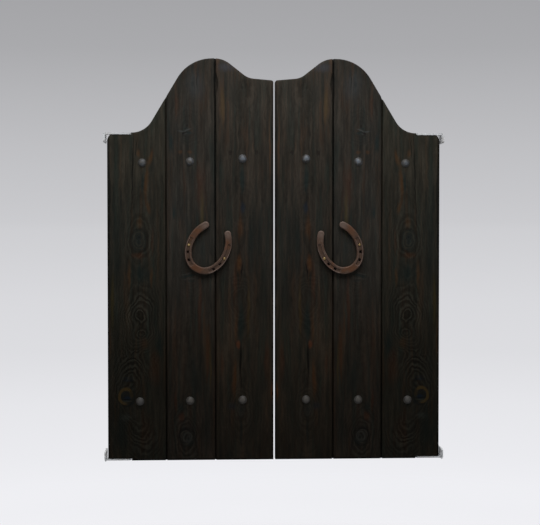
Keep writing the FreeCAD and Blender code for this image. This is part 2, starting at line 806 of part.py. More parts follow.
def bottom_spindle():
    """Return the spindle: a rivet in the arm, a journal for the barrel and a slotted spring post."""
    arm_top = "arm_reveal + bracket_thickness"
    journal_top = f"{REBATE_DEPTH} + barrel_web + running_gap"
    post = turned("spindle_turned", "XZ_Plane", [
        ("0", "arm_reveal"),
        ("rivet_radius", "arm_reveal"),
        ("rivet_radius", arm_top),
        ("pivot_radius", arm_top),
        ("pivot_radius", journal_top),
        ("spindle_radius", journal_top),
        ("spindle_radius", SPINDLE_TIP),
        ("0", SPINDLE_TIP),
    ])
    place(post, "pivot_inset")
    slot_bottom = f"({SPRING_HEAD} - spring_seat_gap)"
    slot = box("spindle_slot", "4 * spindle_radius", "spindle_slot_width",
               f"{BARREL_TOP} - {slot_bottom}", "pivot_inset - 2 * spindle_radius",
               "-spindle_slot_width / 2", slot_bottom)
    return cut("bottom_spindle", post, slot)


def thrust_washer():
    """Return the bronze washer that the leaf's weight rests on."""
    inside = "pivot_radius + thrust_washer_clearance"
    bottom = "arm_reveal + bracket_thickness"
    body = turned("thrust_washer", "XZ_Plane", [
        (inside, bottom),
        ("thrust_washer_radius", bottom),
        ("thrust_washer_radius", f"{bottom} + thrust_washer_thickness"),
        (inside, f"{bottom} + thrust_washer_thickness"),
    ])
    return place(body, "pivot_inset")


def flange_plate(name, allowance, bottom, top):
    """Return the flange's plate in the bottom rebate, larger all round by an allowance."""
    near = f"flange_start - {allowance}"
    far = f"flange_end + {allowance}"
    side = f"flange_width / 2 + {allowance}"
    return box(name, f"{far} - ({near})", f"2 * ({side})", f"{top} - ({bottom})",
               near, f"-({side})", bottom)


def spring_barrel():
    """Return the barrel: a tube with a bearing web at its foot, a cap and a screwed flange."""
    seat = REBATE_DEPTH
    tube = turned("barrel_turned", "XZ_Plane", [
        ("pivot_radius + pivot_clearance", seat),
        (BARREL_RADIUS, seat),
        (BARREL_RADIUS, BARREL_TOP),
        ("0", BARREL_TOP),
        ("0", f"{BARREL_TOP} - barrel_cap"),
        (BARREL_BORE, f"{BARREL_TOP} - barrel_cap"),
        (BARREL_BORE, f"{seat} + barrel_web"),
        ("pivot_radius + pivot_clearance", f"{seat} + barrel_web"),
    ])
    place(tube, "pivot_inset")
    plate = flange_plate("barrel_flange", "0", seat, f"{seat} + flange_thickness")
    bore = cylinder("flange_bore", f"({BARREL_RADIUS} + {BARREL_BORE}) / 2",
                    "flange_thickness + 2 * running_gap", "pivot_inset", "0", f"{seat} - running_gap")
    anchor = box("spring_anchor_slot", f"{SPRING_RADIUS} + spring_wire", "spring_anchor_width",
                 "spring_anchor_depth + 1", "pivot_inset", "-spring_anchor_width / 2",
                 f"{seat} + barrel_web - spring_anchor_depth")
    screws = repeat("flange_screw_sinks", flange_screw("sink", "flange_screw_clearance"),
                    FLANGE_SCREW_PLACES)
    flanged = fuse("barrel_flanged", [tube, cut("flange_bored", plate, bore)])
    return cut("spring_barrel", flanged, fuse("barrel_cutters", [anchor, screws]))


def flange_screw(name, allowance):
    """Return one countersunk flange screw, or its hole where there is an allowance."""
    seat = REBATE_DEPTH
    shank = f"flange_screw_radius + {allowance}"
    tip = f"{seat} + flange_screw_length + {allowance}"
    return turned(f"flange_screw_{name}", "XZ_Plane", [
        ("0", seat),
        (f"flange_screw_head_radius + {allowance}", seat),
        (shank, f"{seat} + flange_thickness"),
        (shank, tip),
        ("0", tip),
    ])


def torsion_spring():
    """Return the spring: square wire, wound up the post, one end in the web, one in the post."""
    half = "spring_wire / 2"
    coil = new_body("spring_coil")
    section = new_sketch(coil, "XZ_Plane", "spring_section")
    draw(section, [
        (f"{SPRING_RADIUS} - {half}", SPRING_FOOT),
        (f"{SPRING_RADIUS} + {half}", SPRING_FOOT),
        (f"{SPRING_RADIUS} + {half}", f"{SPRING_FOOT} + spring_wire"),
        (f"{SPRING_RADIUS} - {half}", f"{SPRING_FOOT} + spring_wire"),
    ])
    winding = coil.newObject("PartDesign::AdditiveHelix", "spring_winding")
    winding.Profile = section
    winding.ReferenceAxis = (section, ["V_Axis"])
    winding.Mode = 1
    bind(winding, Pitch="spring_pitch", Turns="spring_turns")
    place(coil, "pivot_inset")
    foot_tang = box("spring_foot_tang", "spring_wire", "spring_wire",
                    "spring_anchor_depth + spring_wire - spring_seat_gap",
                    f"pivot_inset + {SPRING_RADIUS} - {half}", f"-{half}",
                    f"{SPRING_FOOT} - spring_anchor_depth + spring_seat_gap")
    head_tang = box("spring_head_tang", f"2 * {SPRING_RADIUS} + {half} - spring_wire", "spring_wire",
                    "spring_wire", f"pivot_inset - {SPRING_RADIUS} + spring_wire", f"-{half}",
                    SPRING_HEAD)
    return fuse("torsion_spring", [coil, foot_tang, head_tang])


def top_pin():
    """Return the top pin, riveted in the upper arm and pointing down into the bush."""
    arm_top = "shoulder_height - arm_reveal"
    arm_bottom = f"{arm_top} - bracket_thickness"
    tip = f"{arm_bottom} - pin_length"
    body = turned("top_pin", "XZ_Plane", [
        ("0", tip),
        ("pivot_radius", tip),
        ("pivot_radius", arm_bottom),
        ("rivet_radius", arm_bottom),
        ("rivet_radius", arm_top),
        ("0", arm_top),
    ])
    return place(body, "pivot_inset")


def top_bush():
    """Return the bush in the shoulder, flush with the rebate."""
    top = f"shoulder_height - {REBATE_DEPTH}"
    inside = "pivot_radius + pivot_clearance"
    body = turned("top_bush", "XZ_Plane", [
        (inside, f"{top} - bush_length"),
        (BUSH_RADIUS, f"{top} - bush_length"),
        (BUSH_RADIUS, top),
        (inside, top),
    ])
    return place(body, "pivot_inset")


# ---------------------------------------------------------------- the pair

def left_pieces():
    """Build every piece of the left leaf and its brackets, by node name."""
    outline = leaf_outline()
    bolt_bores = repeat("bolt_bores", bolt_bore(), BOLT_PLACES)
    nail_bores = repeat("nail_bores", nail_bore(), nail_places())
    bores = group("plank_bores", [bolt_bores, nail_bores])
    lower = lower_bracket()
    return {
        "outer_plank": outer_plank(outline, bolt_bores),
        "middle_plank": middle_plank(outline, bores),
        "inner_plank": inner_plank(outline, bores),
        "lower_batten": batten("lower_batten", "lower_batten_rise", bolt_bores),
        "upper_batten": batten("upper_batten", "(shoulder_height - upper_batten_drop)", bolt_bores),
        "carriage_bolts": repeat("carriage_bolts", carriage_bolt(), BOLT_PLACES),
        "flange_nuts": repeat("flange_nuts", flange_nut(), BOLT_PLACES),
        "horseshoe": horseshoe(),
        "horseshoe_nails": repeat("horseshoe_nails", shoe_nail(), nail_places()),
        "spring_barrel": spring_barrel(),
        "flange_screws": repeat("flange_screws", flange_screw("piece", "0"), FLANGE_SCREW_PLACES),
        "torsion_spring": torsion_spring(),
        "bottom_spindle": bottom_spindle(),
        "thrust_washer": thrust_washer(),
        "top_bush": top_bush(),
        "top_pin": top_pin(),
        "lower_jamb_bracket": group("lower_jamb_bracket", [lower]),
        "upper_jamb_bracket": upper_bracket(lower),
    }


def set_in_doorway(node, piece):
    """Group a left-hand piece at its place in the doorway, with its right-hand mirror image."""
    left = group(f"left_{node}", [piece])
    left.Label = f"left_{node}"
    place(left, "bracket_thickness + edge_gap", "0", "-arm_reveal - screw_height")
    right = doc.addObject("Part::Mirroring", f"right_{node}")
    right.Label = f"right_{node}"
    right.Source = left
    right.Normal = (1, 0, 0)
    right.setExpression("Base.x", sized("bracket_thickness + edge_gap + leaf_width + meeting_gap / 2"))
    return [left, right]


def check(objects):
    """Stop if any feature failed or any piece has no sound solid."""
    for item in doc.Objects:
        if {"Invalid", "Error"} & set(item.State):
            raise RuntimeError(f"{item.Name} failed: {item.State}")
    for item in objects:
        shape = item.Shape
        if shape.isNull() or not shape.isValid() or not shape.Solids:
            raise RuntimeError(f"{item.Label} has no sound solid")
        if min(solid.Volume for solid in shape.Solids) <= 0:
            raise RuntimeError(f"{item.Label} has a solid turned inside out")


doc = FreeCAD.newDocument("cafe_doors")
sheet = make_sheet(doc)
nodes = []
for node_name, node_piece in left_pieces().items():
    nodes += set_in_doorway(node_name, node_piece)
doc.recompute()
check(nodes)
os.makedirs("parts", exist_ok=True)
for node_object in nodes:
    node_object.Shape.exportStep(f"parts/{node_object.Label}.step")
    print(f"{node_object.Label}: {len(node_object.Shape.Solids)} solids, "
          f"{node_object.Shape.Volume / 1000:.1f} cm3")
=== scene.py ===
import logging
import math
from dataclasses import dataclass, field
from enum import Enum

import bmesh
import bpy
from mathutils import Matrix, Vector, noise


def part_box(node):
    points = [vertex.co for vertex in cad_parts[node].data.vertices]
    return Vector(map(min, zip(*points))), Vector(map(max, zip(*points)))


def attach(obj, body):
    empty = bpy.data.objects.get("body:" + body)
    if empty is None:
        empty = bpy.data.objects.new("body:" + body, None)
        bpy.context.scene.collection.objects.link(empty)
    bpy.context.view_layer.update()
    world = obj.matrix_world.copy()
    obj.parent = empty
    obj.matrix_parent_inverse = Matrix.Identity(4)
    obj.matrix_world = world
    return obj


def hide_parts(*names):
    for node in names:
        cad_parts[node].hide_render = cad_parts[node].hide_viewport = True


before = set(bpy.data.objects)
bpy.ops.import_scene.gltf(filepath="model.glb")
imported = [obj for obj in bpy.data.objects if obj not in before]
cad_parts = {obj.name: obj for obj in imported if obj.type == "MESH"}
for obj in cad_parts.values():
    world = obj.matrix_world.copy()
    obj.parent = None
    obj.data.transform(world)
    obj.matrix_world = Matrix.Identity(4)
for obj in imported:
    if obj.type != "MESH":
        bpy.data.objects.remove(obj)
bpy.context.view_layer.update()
log = logging.getLogger("cafe_doors")

Spot = tuple[float, float]
Point = tuple[float, float, float]
Colour = tuple[float, float, float]
Socket = bpy.types.NodeSocket
Material = bpy.types.Material
Piece = bpy.types.Object
Form = bmesh.types.BMesh

DOORWAY_WIDTH = 0.8445
LEAF_EDGE = 0.008
LEAF_FOOT = -0.016
LEAF_FRONT = -0.014
# run and rise of each bolt of a leaf, in the lower row and then the upper
BOLT_PLACES = (
    (0.0795, 0.148), (0.204, 0.149), (0.335, 0.1505), (0.086, 0.741), (0.204, 0.7445), (0.335, 0.7515))


class Side(Enum):
    """Which leaf of the pair."""

    LEFT = "left"
    RIGHT = "right"

    @property
    def body(self) -> str:
        """The moving body that this leaf's pieces ride on."""
        return f"{self.value}_leaf"

    @property
    def hand(self) -> float:
        """1 on the left leaf and -1 on the right one, which is its mirror image."""
        return 1.0 if self is Side.LEFT else -1.0

    def x(self, run: float) -> float:
        """Doorway x of a distance from the leaf's hinge edge."""
        return LEAF_EDGE + run if self is Side.LEFT else DOORWAY_WIDTH - LEAF_EDGE - run

    def run(self, x: float) -> float:
        """Distance from the leaf's hinge edge of a doorway x."""
        return x - LEAF_EDGE if self is Side.LEFT else DOORWAY_WIDTH - LEAF_EDGE - x

    def node(self, name: str) -> Piece:
        """The leaf's own CAD node of that name."""
        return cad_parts[f"{self.value}_{name}"]

    def own(self, piece: Piece, node: str, slot: str) -> Piece:
        """Hang a piece on this leaf in place of one of its CAD nodes.

        Args:
            piece: the new piece.
            node: the CAD node's name without its side.
            slot: not used.

        Returns:
            The same piece.
        """
        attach(piece, self.body)
        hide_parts(f"{self.value}_{node}")
        return piece


# ---- shading

class Recipe:
    """The nodes of a material or of the world, and short ways to add them."""

    def __init__(self, owner: Material | bpy.types.World) -> None:
        """Start with an empty node tree.

        Args:
            owner: the material or world that the nodes belong to.
        """
        self.owner = owner
        owner.use_nodes = True
        self.tree = owner.node_tree
        self.tree.nodes.clear()

    def feed(self, socket: Socket, value: object) -> None:
        """Link a socket to another one, or set its plain value.

        Args:
            socket: the input.
            value: a socket, a number, a vector or a colour.
        """
        if isinstance(value, Socket):
            self.tree.links.new(value, socket)
        elif socket.type == "RGBA":
            socket.default_value = (*value, 1.0)
        else:
            socket.default_value = value

    def add(self, kind: str, inputs: dict | None = None, **settings: object) -> bpy.types.Node:
        """Add a node.

        Args:
            kind: the node's Blender type.
            inputs: values or sockets by input name or number.
            settings: the node's own settings.

        Returns:
            The node.
        """
        made = self.tree.nodes.new(kind)
        for key, value in settings.items():
            setattr(made, key, value)
        for key, value in (inputs or {}).items():
            self.feed(made.inputs[key], value)
        return made

    def math(self, operation: str, a: object, b: object = 0.0, c: object = 0.0) -> Socket:
        """One sum on numbers."""
        return self.add("ShaderNodeMath", {0: a, 1: b, 2: c}, operation=operation).outputs[0]

    def times(self, a: object, b: object) -> Socket:
        """One number times another."""
        return self.math("MULTIPLY", a, b)

    def scaled(self, value: object, by: object, plus: object) -> Socket:
        """A number times another, plus a third."""
        return self.math("MULTIPLY_ADD", value, by, plus)

    def minus(self, a: object, b: object) -> Socket:
        """One number less another."""
        return self.math("SUBTRACT", a, b)

    def part(self, value: object, number: int) -> Socket:
        """The x, y or z of a vector, as number 0, 1 or 2."""
        return self.add("ShaderNodeSeparateXYZ", {0: value}).outputs[number]

    def position(self) -> Socket:
        """The point's own place in the doorway."""
        return self.add("ShaderNodeTexCoord").outputs["Object"]

    def hypotenuse(self, a: object, b: object) -> Socket:
        """The distance that two numbers make at right angles."""
        return self.math("SQRT", self.math("ADD", self.times(a, a), self.times(b, b)))

    def bell(self, value: object, narrow: float = 1.0) -> Socket:
        """1 where the value is 0, and falling smoothly to nothing on both sides."""
        square = self.times(self.times(value, value), -narrow)
        return self.math("POWER", math.e, square)

    def vector(self, operation: str, a: object, b: object, c: object = None) -> Socket:
        """One sum on vectors that gives a vector."""
        inputs = {0: a, 1: b} if c is None else {0: a, 1: b, 2: c}
        return self.add("ShaderNodeVectorMath", inputs, operation=operation).outputs[0]

    def length(self, value: object) -> Socket:
        """How long a vector is."""
        return self.add("ShaderNodeVectorMath", {0: value}, operation="LENGTH").outputs["Value"]

    def turned(self, value: object, angle: float) -> Socket:
        """A vector turned about the Y axis."""
        inputs = {"Vector": value, "Angle": angle}
        return self.add("ShaderNodeVectorRotate", inputs, rotation_type="Y_AXIS").outputs[0]

    def mix(self, factor: object, a: object, b: object, mode: str = "MIX") -> Socket:
        """Mix two colours.

        Args:
            factor: how much of the second.
            a: the first.
            b: the second.
            mode: how they mix.

        Returns:
            The mixed colour.
        """
        made = self.add("ShaderNodeMix", data_type="RGBA", blend_type=mode, clamp_factor=True)
        for number, value in ((0, factor), (6, a), (7, b)):
            self.feed(made.inputs[number], value)
        return made.outputs[2]

    def tint(self, colour: object, other: object, amount: object, share: float) -> Socket:
        """Lay another colour over one, by a share of an amount."""
        return self.mix(self.times(amount, share), colour, other)

    def smooth(self, value: object, low: float, high: float) -> Socket:
        """0 at low and 1 at high with a smooth step between, also with low above high.

        Args:
            value: the number that steps.
            low: where it is 0.
            high: where it is 1.

        Returns:
            The step, from 0 to 1.
        """
        made = self.add("ShaderNodeMapRange", {0: value}, interpolation_type="SMOOTHSTEP")
        made.inputs[1].default_value, made.inputs[2].default_value = min(low, high), max(low, high)
        made.inputs[3].default_value, made.inputs[4].default_value = (0, 1) if low < high else (1, 0)
        return made.outputs[0]

    def noise(self, at: object, scale: float | Point, detail: float = 3.0, roughness: float = 0.5,
              shift: Point = (0.0, 0.0, 0.0)) -> Socket:
        """Smooth noise from 0 to 1, with one scale or one for each axis.

        Args:
            at: the point.
            scale: how fine it is.
            detail: how many layers it has.
            roughness: how strong the finer layers are.
            shift: how far it is moved, where each axis has a scale.

        Returns:
            The noise.
        """
        if isinstance(scale, tuple):
            at, scale = self.vector("MULTIPLY_ADD", at, scale, shift), 1.0
        inputs = {"Vector": at, "Scale": scale, "Detail": detail, "Roughness": roughness}
        return self.add("ShaderNodeTexNoise", inputs).outputs["Fac"]

    def ramp(self, value: object, stops: list[tuple[float, Colour]], kind: str = "LINEAR") -> Socket:
        """Turn a number into a colour by stops in rising order.

        Args:
            value: the number.
            stops: the place and colour of each stop.
            kind: how it runs between them.

        Returns:
            The colour.
        """
        made = self.add("ShaderNodeValToRGB", {0: value})
        made.color_ramp.interpolation = kind
        marks = made.color_ramp.elements
        marks[0].position, marks[1].position = stops[0][0], stops[-1][0]
        for position, _ in stops[1:-1]:
            marks.new(position)
        for mark, (_, colour) in zip(marks, stops):
            mark.color = (*colour, 1.0)
        return made.outputs[0]

    def bump(self, height: object, distance: float, strength: float = 1.0) -> Socket:
        """Tilt the surface by a height from 0 to 1, which stands for a distance in metres."""
        inputs = {"Height": height, "Distance": distance, "Strength": strength}
        return self.add("ShaderNodeBump", inputs).outputs[0]

    def surface(self, base: object, roughness: object, normal: object, metallic: float = 0.0,
                **uniform: float) -> Material:
        """Close the recipe with one surface shader.

        Args:
            base: colour.
            roughness: number or socket.
            normal: socket of a bump.
            metallic: 1 on bare metal.
            uniform: numbers set straight on the shader's own sockets, by their names with _ for a space.

        Returns:
            The finished material.
        """
        inputs = {"Base Color": base, "Roughness": roughness, "Metallic": metallic, "Normal": normal}
        inputs.update({key.replace("_", " "): value for key, value in uniform.items()})
        self.close("ShaderNodeOutputMaterial", self.add("ShaderNodeBsdfPrincipled", inputs))
        return self.owner

    def close(self, kind: str, shader: bpy.types.Node) -> None:
        """Link the last shader to the output."""
        self.tree.links.new(shader.outputs[0], self.add(kind).inputs[0])


# ---- wood

@dataclass(frozen=True)
class Station:
    """The log at one height: where its pith runs, how deep behind the front face, and how bold its figure is.

    A shallow pith closes the rings into an eye, and a pith that dives makes them run out in flames.
    """

    rise: float
    run: float
    depth: float
    figure: float


@dataclass(frozen=True)
class Knot:
    """A knot: where it is, how large, and how hard it pushes the grain aside."""

    run: float
    rise: float
    radius: float
    stretch: float = 1.3
    push: float = 0.008
    core: Colour = (0.005, 0.005, 0.005)
    rim: Colour = (0.02, 0.015, 0.0105)
    strength: float = 0.8
    dish: float = 0.0


@dataclass(frozen=True)
class Stain:
    """A soft ragged patch or streak of another tone.

    The lean is to the right at its top, in radians. A ring above 0 leaves the patch open in its middle, and
    is the ring's thickness as a part of its radius.
    """

    run: float
    rise: float
    width: float
    height: float
    colour: Colour
    strength: float = 0.6
    lean: float = 0.0
    ring: float = 0.0


@dataclass(frozen=True)
class Check:
    """A drying crack, from its lower end to its upper end."""

    low: Spot
    high: Spot
    width: float = 0.0012
    depth: float = 0.0011
    wander: float = 0.0006
    wander_rate: float = 90.0
    taper: float = 5.0

    def mark(self) -> Stain:
        """The dark line along the crack.

        Returns:
            A thin stain that leans as the crack does.
        """
        (run_low, rise_low), (run_high, rise_high) = self.low, self.high
        run, rise = run_high - run_low, rise_high - rise_low
        return Stain((run_low + run_high) / 2, (rise_low + rise_high) / 2, self.width * 1.3,
                     math.hypot(run, rise) / 2, SOOT_AND_SHADE, 0.85, math.atan2(run, rise))

    def reach(self, run: float, rise: float) -> float:
        """How deep in the crack a place is, from 1 on its line to 0 beside it.

        Args:
            run: distance from the hinge edge.
            rise: height above the foot.

        Returns:
            The part of the crack's depth.
        """
        (run_low, rise_low), (run_high, rise_high) = self.low, self.high
        along = (rise - rise_low) / (rise_high - rise_low)
        if not 0.0 < along < 1.0:
            return 0.0
        line = run_low + (run_high - run_low) * along + self.wander * math.sin(rise * self.wander_rate)
        ends = min(1.0, self.taper * along, self.taper * (1.0 - along))
        return ends * max(0.0, 1.0 - abs(run - line) / self.width)


def rows(kind: type, *values: tuple) -> tuple:
    """A table of one kind of thing, from a row of values for each."""
    return tuple(kind(*row) for row in values)


ORANGE: Colour = (0.04, 0.019, 0.0085)
RUST: Colour = (0.03, 0.0135, 0.0075)
TEAL: Colour = (0.0078, 0.0112, 0.0102)
BLUE: Colour = (0.009, 0.012, 0.016)
# near-black for soot and dark streaks, also laid as painted shade along the boards' rounded edges and feet
SOOT_AND_SHADE: Colour = (0.0042, 0.0042, 0.0036)
PALE: Colour = (0.033, 0.0345, 0.031)


@dataclass(frozen=True)
class StainedWood:
    """A dark-stained, worn softwood board, sawn from its own log, with its knots and stains placed.

    The painted light levels are how strong the colour is at four heights up the leaf: painted shade low on
    the leaf and painted light near the crest. The foot's tint colours the lower two, and the crest's tint, a
    bluish painted sheen, colours the upper two.
    """

    name: str
    seed: float
    log: tuple[Station, ...]
    ring: float = 0.0052
    upright: bool = True
    painted_light_levels: tuple[float, float, float, float] = (0.6, 0.7, 1.05, 1.25)
    painted_foot_shade_tint: Colour = (1.0, 1.0, 1.0)
    painted_crest_sheen_tint: Colour = (1.0, 1.0, 1.0)
    knots: tuple[Knot, ...] = ()
    # scars, and near-black lines of painted shade along some rounded edges
    scars_and_edge_shade: tuple[Stain, ...] = ()
    stains: tuple[Stain, ...] = ()
    checks: tuple[Check, ...] = ()

    def material(self, side: Side) -> Material:
        """Build the wood for one leaf."""
        return WoodRecipe(self, side).material()


class WoodRecipe(Recipe):
    """The nodes of one board: its drifting grain and rings, and then all that has happened to it.

    A drift is how fast it changes and how far it reaches along each axis.
    """

    stain_tones: tuple[tuple[float, Colour], ...] = (
        (0.3, (0.009, 0.0085, 0.0066)), (0.5, (0.0158, 0.0135, 0.0103)), (0.72, (0.0262, 0.0214, 0.016)))
    warm: Colour = (0.0262, 0.0158, 0.0098)
    cool: Colour = (0.0122, 0.0148, 0.012)
    smoky: Colour = (0.0105, 0.0112, 0.0095)
    fibre_tones: tuple[tuple[float, Colour], ...] = (
        (0.3, (0.62, 0.62, 0.62)), (0.5, (1.0, 1.0, 1.0)), (0.7, (1.42, 1.4, 1.36)))
    slow_drift: tuple[Point, Point] = ((9, 3, 2.4), (0.012, 0.02, 0.0))
    quick_drift: tuple[Point, Point] = ((55, 20, 38), (0.007, 0.01, 0.006))
    # heights of the four painted light levels: painted shade low on the leaf, painted light near the crest
    painted_light_heights: tuple[float, ...] = (0.06, 0.28, 0.55, 0.88)
    knot_edge: float = 1.08
    gloss: float = 0.025

    def __init__(self, wood: StainedWood, side: Side) -> None:
        """Place the board in its leaf, and set out the noises of its grain.

        A point is given by its run from the hinge edge, its depth and its rise from the foot, so the two
        leaves are mirror images.

        Args:
            wood: the board's own values.
            side: its leaf.
        """
        super().__init__(bpy.data.materials.new(f"{side.value}_{wood.name}"))
        self.wood = wood
        start = -LEAF_EDGE if side is Side.LEFT else DOORWAY_WIDTH - LEAF_EDGE
        at = self.vector("MULTIPLY_ADD", self.position(), (side.hand, 1, 1), (start, 0, -LEAF_FOOT))
        self.at = at if wood.upright else self.turned(at, -math.pi / 2)
        seed = (wood.seed, wood.seed * 0.37, wood.seed * 1.7)
        self.seeded = self.vector("ADD", self.at, seed)
        self.bent = self.at
        for scale, reach in (self.slow_drift, self.quick_drift):
            drift = self.add("ShaderNodeTexNoise", {"Vector": self.vector("MULTIPLY", self.seeded, scale),
                                                    "Scale": 1.0, "Detail": 2.0}).outputs["Color"]
            drift = self.vector("SUBTRACT", drift, (0.5, 0.5, 0.5))
            self.bent = self.vector("MULTIPLY_ADD", drift, reach, self.bent)
        flow = self.vector("ADD", self.bent, seed)
        self.fibre = self.noise(flow, (270, 270, 11), 4.0, 0.62)
        self.pores = self.noise(flow, (1300, 1300, 45), 2.0, 0.6)
        self.tone = self.noise(flow, (95, 45, 8), 4.0, 0.62)
        self.hue = self.noise(flow, (86, 30, 5.0), 4.0, 0.6, (9.1, 4.7, 7.3))
        self.cloud = self.noise(flow, (22, 9, 6), 3.0, 0.55, (2.3, 8.1, 5.5))
        self.far_from = {knot: self.away(knot) for knot in wood.knots}

    def away(self, spot: Knot | Stain) -> Socket:
        """Distance from a spot, 1 at its edge.

        Args:
            spot: a knot, or a patch that may lean or be a ring.

        Returns:
            The distance.
        """
        shifted = self.vector("SUBTRACT", self.bent, (spot.run, 0, spot.rise))
        if isinstance(spot, Knot):
            width, height = spot.radius, spot.radius * spot.stretch
        else:
            width, height = spot.width, spot.height
            if spot.lean:
                shifted = self.turned(shifted, -spot.lean)
        far = self.length(self.vector("MULTIPLY", shifted, (1 / width, 0, 1 / height)))
        if isinstance(spot, Stain) and spot.ring:
            return self.math("DIVIDE", self.math("ABSOLUTE", self.minus(far, 1.0)), spot.ring)
        return far

    def frayed(self, far: object, by: object, amount: float) -> Socket:
        """A distance made ragged by a noise of the grain."""
        return self.scaled(self.minus(by, 0.5), amount, far)

    def growth(self) -> tuple[Socket, Socket]:
        """Distance from the pith in metres, and how bold the figure is there, from 0 to 1.

        Returns:
            Both, in that order.
        """
        # the log's values are scaled to fit a colour's 0 to 1, and scaled back below
        stops = [(stop.rise, (stop.run * 2, stop.depth * 8, stop.figure)) for stop in self.wood.log]
        pith = self.add("ShaderNodeSeparateColor", {0: self.ramp(self.part(self.at, 2), stops, "CARDINAL")})
        run = self.scaled(pith.outputs[0], -0.5, self.part(self.bent, 0))
        depth = self.scaled(pith.outputs[1], 0.125, self.times(self.part(self.bent, 1), -1.0))
        depth = self.math("ADD", depth, LEAF_FRONT)
        near = self.scaled(self.bell(run, 900.0), 0.85, 0.15)
        return self.hypotenuse(run, depth), self.times(pith.outputs[2], near)

    def yearly(self, count: object, scale: float, detail: float) -> Socket:
        """A noise that is the same all along one year's ring."""
        inputs = {"W": count, "Scale": scale, "Detail": detail}
        return self.add("ShaderNodeTexNoise", inputs, noise_dimensions="1D").outputs["Fac"]

    def rings(self) -> tuple[Socket, Socket, Socket]:
        """Late wood and early wood from 0 to 1, and the figure, all pushed about by the knots.

        Returns:
            The three, in that order.
        """
        radius, figure = self.growth()
        wander = self.noise(self.seeded, (40, 22, 27), 3.0, 0.55, (3.7, 1.9, 6.1))
        radius = self.frayed(radius, wander, 0.015)
        for knot, far in self.far_from.items():
            radius = self.scaled(self.bell(far, 0.45), knot.push, radius)
            figure = self.scaled(self.bell(far, 0.3), 0.35 * knot.strength, figure)
        count = self.times(radius, 1 / self.wood.ring)
        phase = self.math("FRACT", self.scaled(self.yearly(count, 0.55, 2.0), 1.6, count))
        vigour = self.scaled(self.yearly(count, 1.4, 1.0), 1.4, 0.25)
        late = self.times(self.smooth(phase, 0.2, 0.8), self.smooth(phase, 1.0, 0.86))
        early = self.times(self.smooth(phase, 0.0, 0.15), self.smooth(phase, 0.6, 0.3))
        return self.times(late, vigour), early, figure

    def stained(self) -> Socket:
        """The stain's own uneven colour, with its soft patches and streaks and the dark lines along the
        cracks.

        Returns:
            The colour.
        """
        colour = self.ramp(self.tone, self.stain_tones)
        colour = self.tint(colour, self.warm, self.smooth(self.hue, 0.52, 0.72), 0.6)
        colour = self.tint(colour, self.cool, self.smooth(self.hue, 0.48, 0.32), 0.62)
        colour = self.tint(colour, self.smoky, self.smooth(self.cloud, 0.48, 0.3), 0.45)
        for stain in (*self.wood.stains, *(check.mark() for check in self.wood.checks)):
            ragged = self.frayed(self.frayed(self.away(stain), self.tone, 1.5), self.fibre, 0.9)
            colour = self.tint(colour, stain.colour, self.smooth(ragged, 1.35, 0.2), stain.strength)
        return colour

    def grained(self, colour: object) -> tuple[Socket, Socket]:
        """Draw the rings and fibres on a colour, with the paler early wood partly a painted sheen, and raise
        them.

        Args:
            colour: the stained colour.

        Returns:
            The colour and the height.
        """
        late, early, figure = self.rings()
        bold = self.times(late, self.scaled(figure, 0.76, 0.05))
        colour = self.mix(bold, colour, self.mix(1.0, colour, (0.3, 0.3, 0.3), "MULTIPLY"))
        # paler early wood: partly the grain's own paler early wood, partly a painted sheen along the rings
        pale_early_wood_and_sheen = self.mix(0.45, self.mix(1.0, colour, (2.1, 2.1, 2.1), "MULTIPLY"), PALE)
        colour = self.mix(self.times(early, self.times(figure, 0.52)), colour, pale_early_wood_and_sheen)
        colour = self.mix(0.55, colour, self.ramp(self.fibre, self.fibre_tones), "MULTIPLY")
        height = self.scaled(bold, 0.55, self.times(self.fibre, 0.5))
        return colour, self.scaled(self.pores, 0.22, height)

    def knotted(self, colour: object, height: object) -> tuple[Socket, Socket]:
        """Set the knots in, each with its own rings and a black rim.

        Args:
            colour: the grained colour.
            height: the grained height.

        Returns:
            The new colour and height.
        """
        for knot, far in self.far_from.items():
            wobble = self.scaled(self.noise(self.seeded, 85.0, 2.0), 0.5, self.minus(far, 0.25))
            spot = self.times(self.smooth(wobble, self.knot_edge, 0.86), knot.strength)
            turns = self.math("PINGPONG", self.times(wobble, 3.3), 0.5)
            ringed = self.mix(self.smooth(turns, 0.06, 0.4), knot.core, knot.rim)
            ringed = self.mix(self.smooth(wobble, 0.62, 0.22), ringed, knot.core)
            colour = self.mix(spot, colour, ringed)
            edge = self.bell(self.minus(wobble, self.knot_edge), 55.0)
            colour = self.tint(colour, SOOT_AND_SHADE, edge, knot.strength * 0.8)
            height = self.scaled(spot, -0.25, height)
        return colour, height

    def scarred_with_painted_light(self, colour: object) -> Socket:
        """Lay the scars and the painted shade lines along the edges, paint shade low on the leaf and light
        with a bluish sheen near the crest, and paint shade on the board's sharp edges.

        Args:
            colour: the knotted colour.

        Returns:
            The board's last colour.
        """
        for overlay in self.wood.scars_and_edge_shade:
            ragged = self.frayed(self.away(overlay), self.fibre, 0.8)
            colour = self.tint(colour, overlay.colour, self.smooth(ragged, 1.3, 0.35), overlay.strength)
        # painted shade darkens the colour low on the leaf, and painted light with a bluish sheen brightens it
        # near the crest
        if self.wood.upright:
            foot, crest = self.wood.painted_foot_shade_tint, self.wood.painted_crest_sheen_tint
            stops = [(height, tuple(level * tone for tone in tint)) for height, level, tint
                     in zip(self.painted_light_heights, self.wood.painted_light_levels, (foot, foot, crest, crest))]
            colour = self.mix(1.0, colour, self.ramp(self.part(self.at, 2), stops), "MULTIPLY")
        # painted shade darkens the board's sharp edges
        sharp = self.add("ShaderNodeNewGeometry").outputs["Pointiness"]
        return self.tint(colour, SOOT_AND_SHADE, self.smooth(sharp, 0.52, 0.64), 0.6)

    def material(self) -> Material:
        """Build the wood, from the stain outwards.

        Returns:
            The material.
        """
        colour, height = self.knotted(*self.grained(self.stained()))
        roughness = self.scaled(self.fibre, 0.2, 0.56)
        return self.surface(self.scarred_with_painted_light(colour), roughness, self.bump(height, 0.0008, 0.8),
                            Specular_IOR_Level=self.gloss)
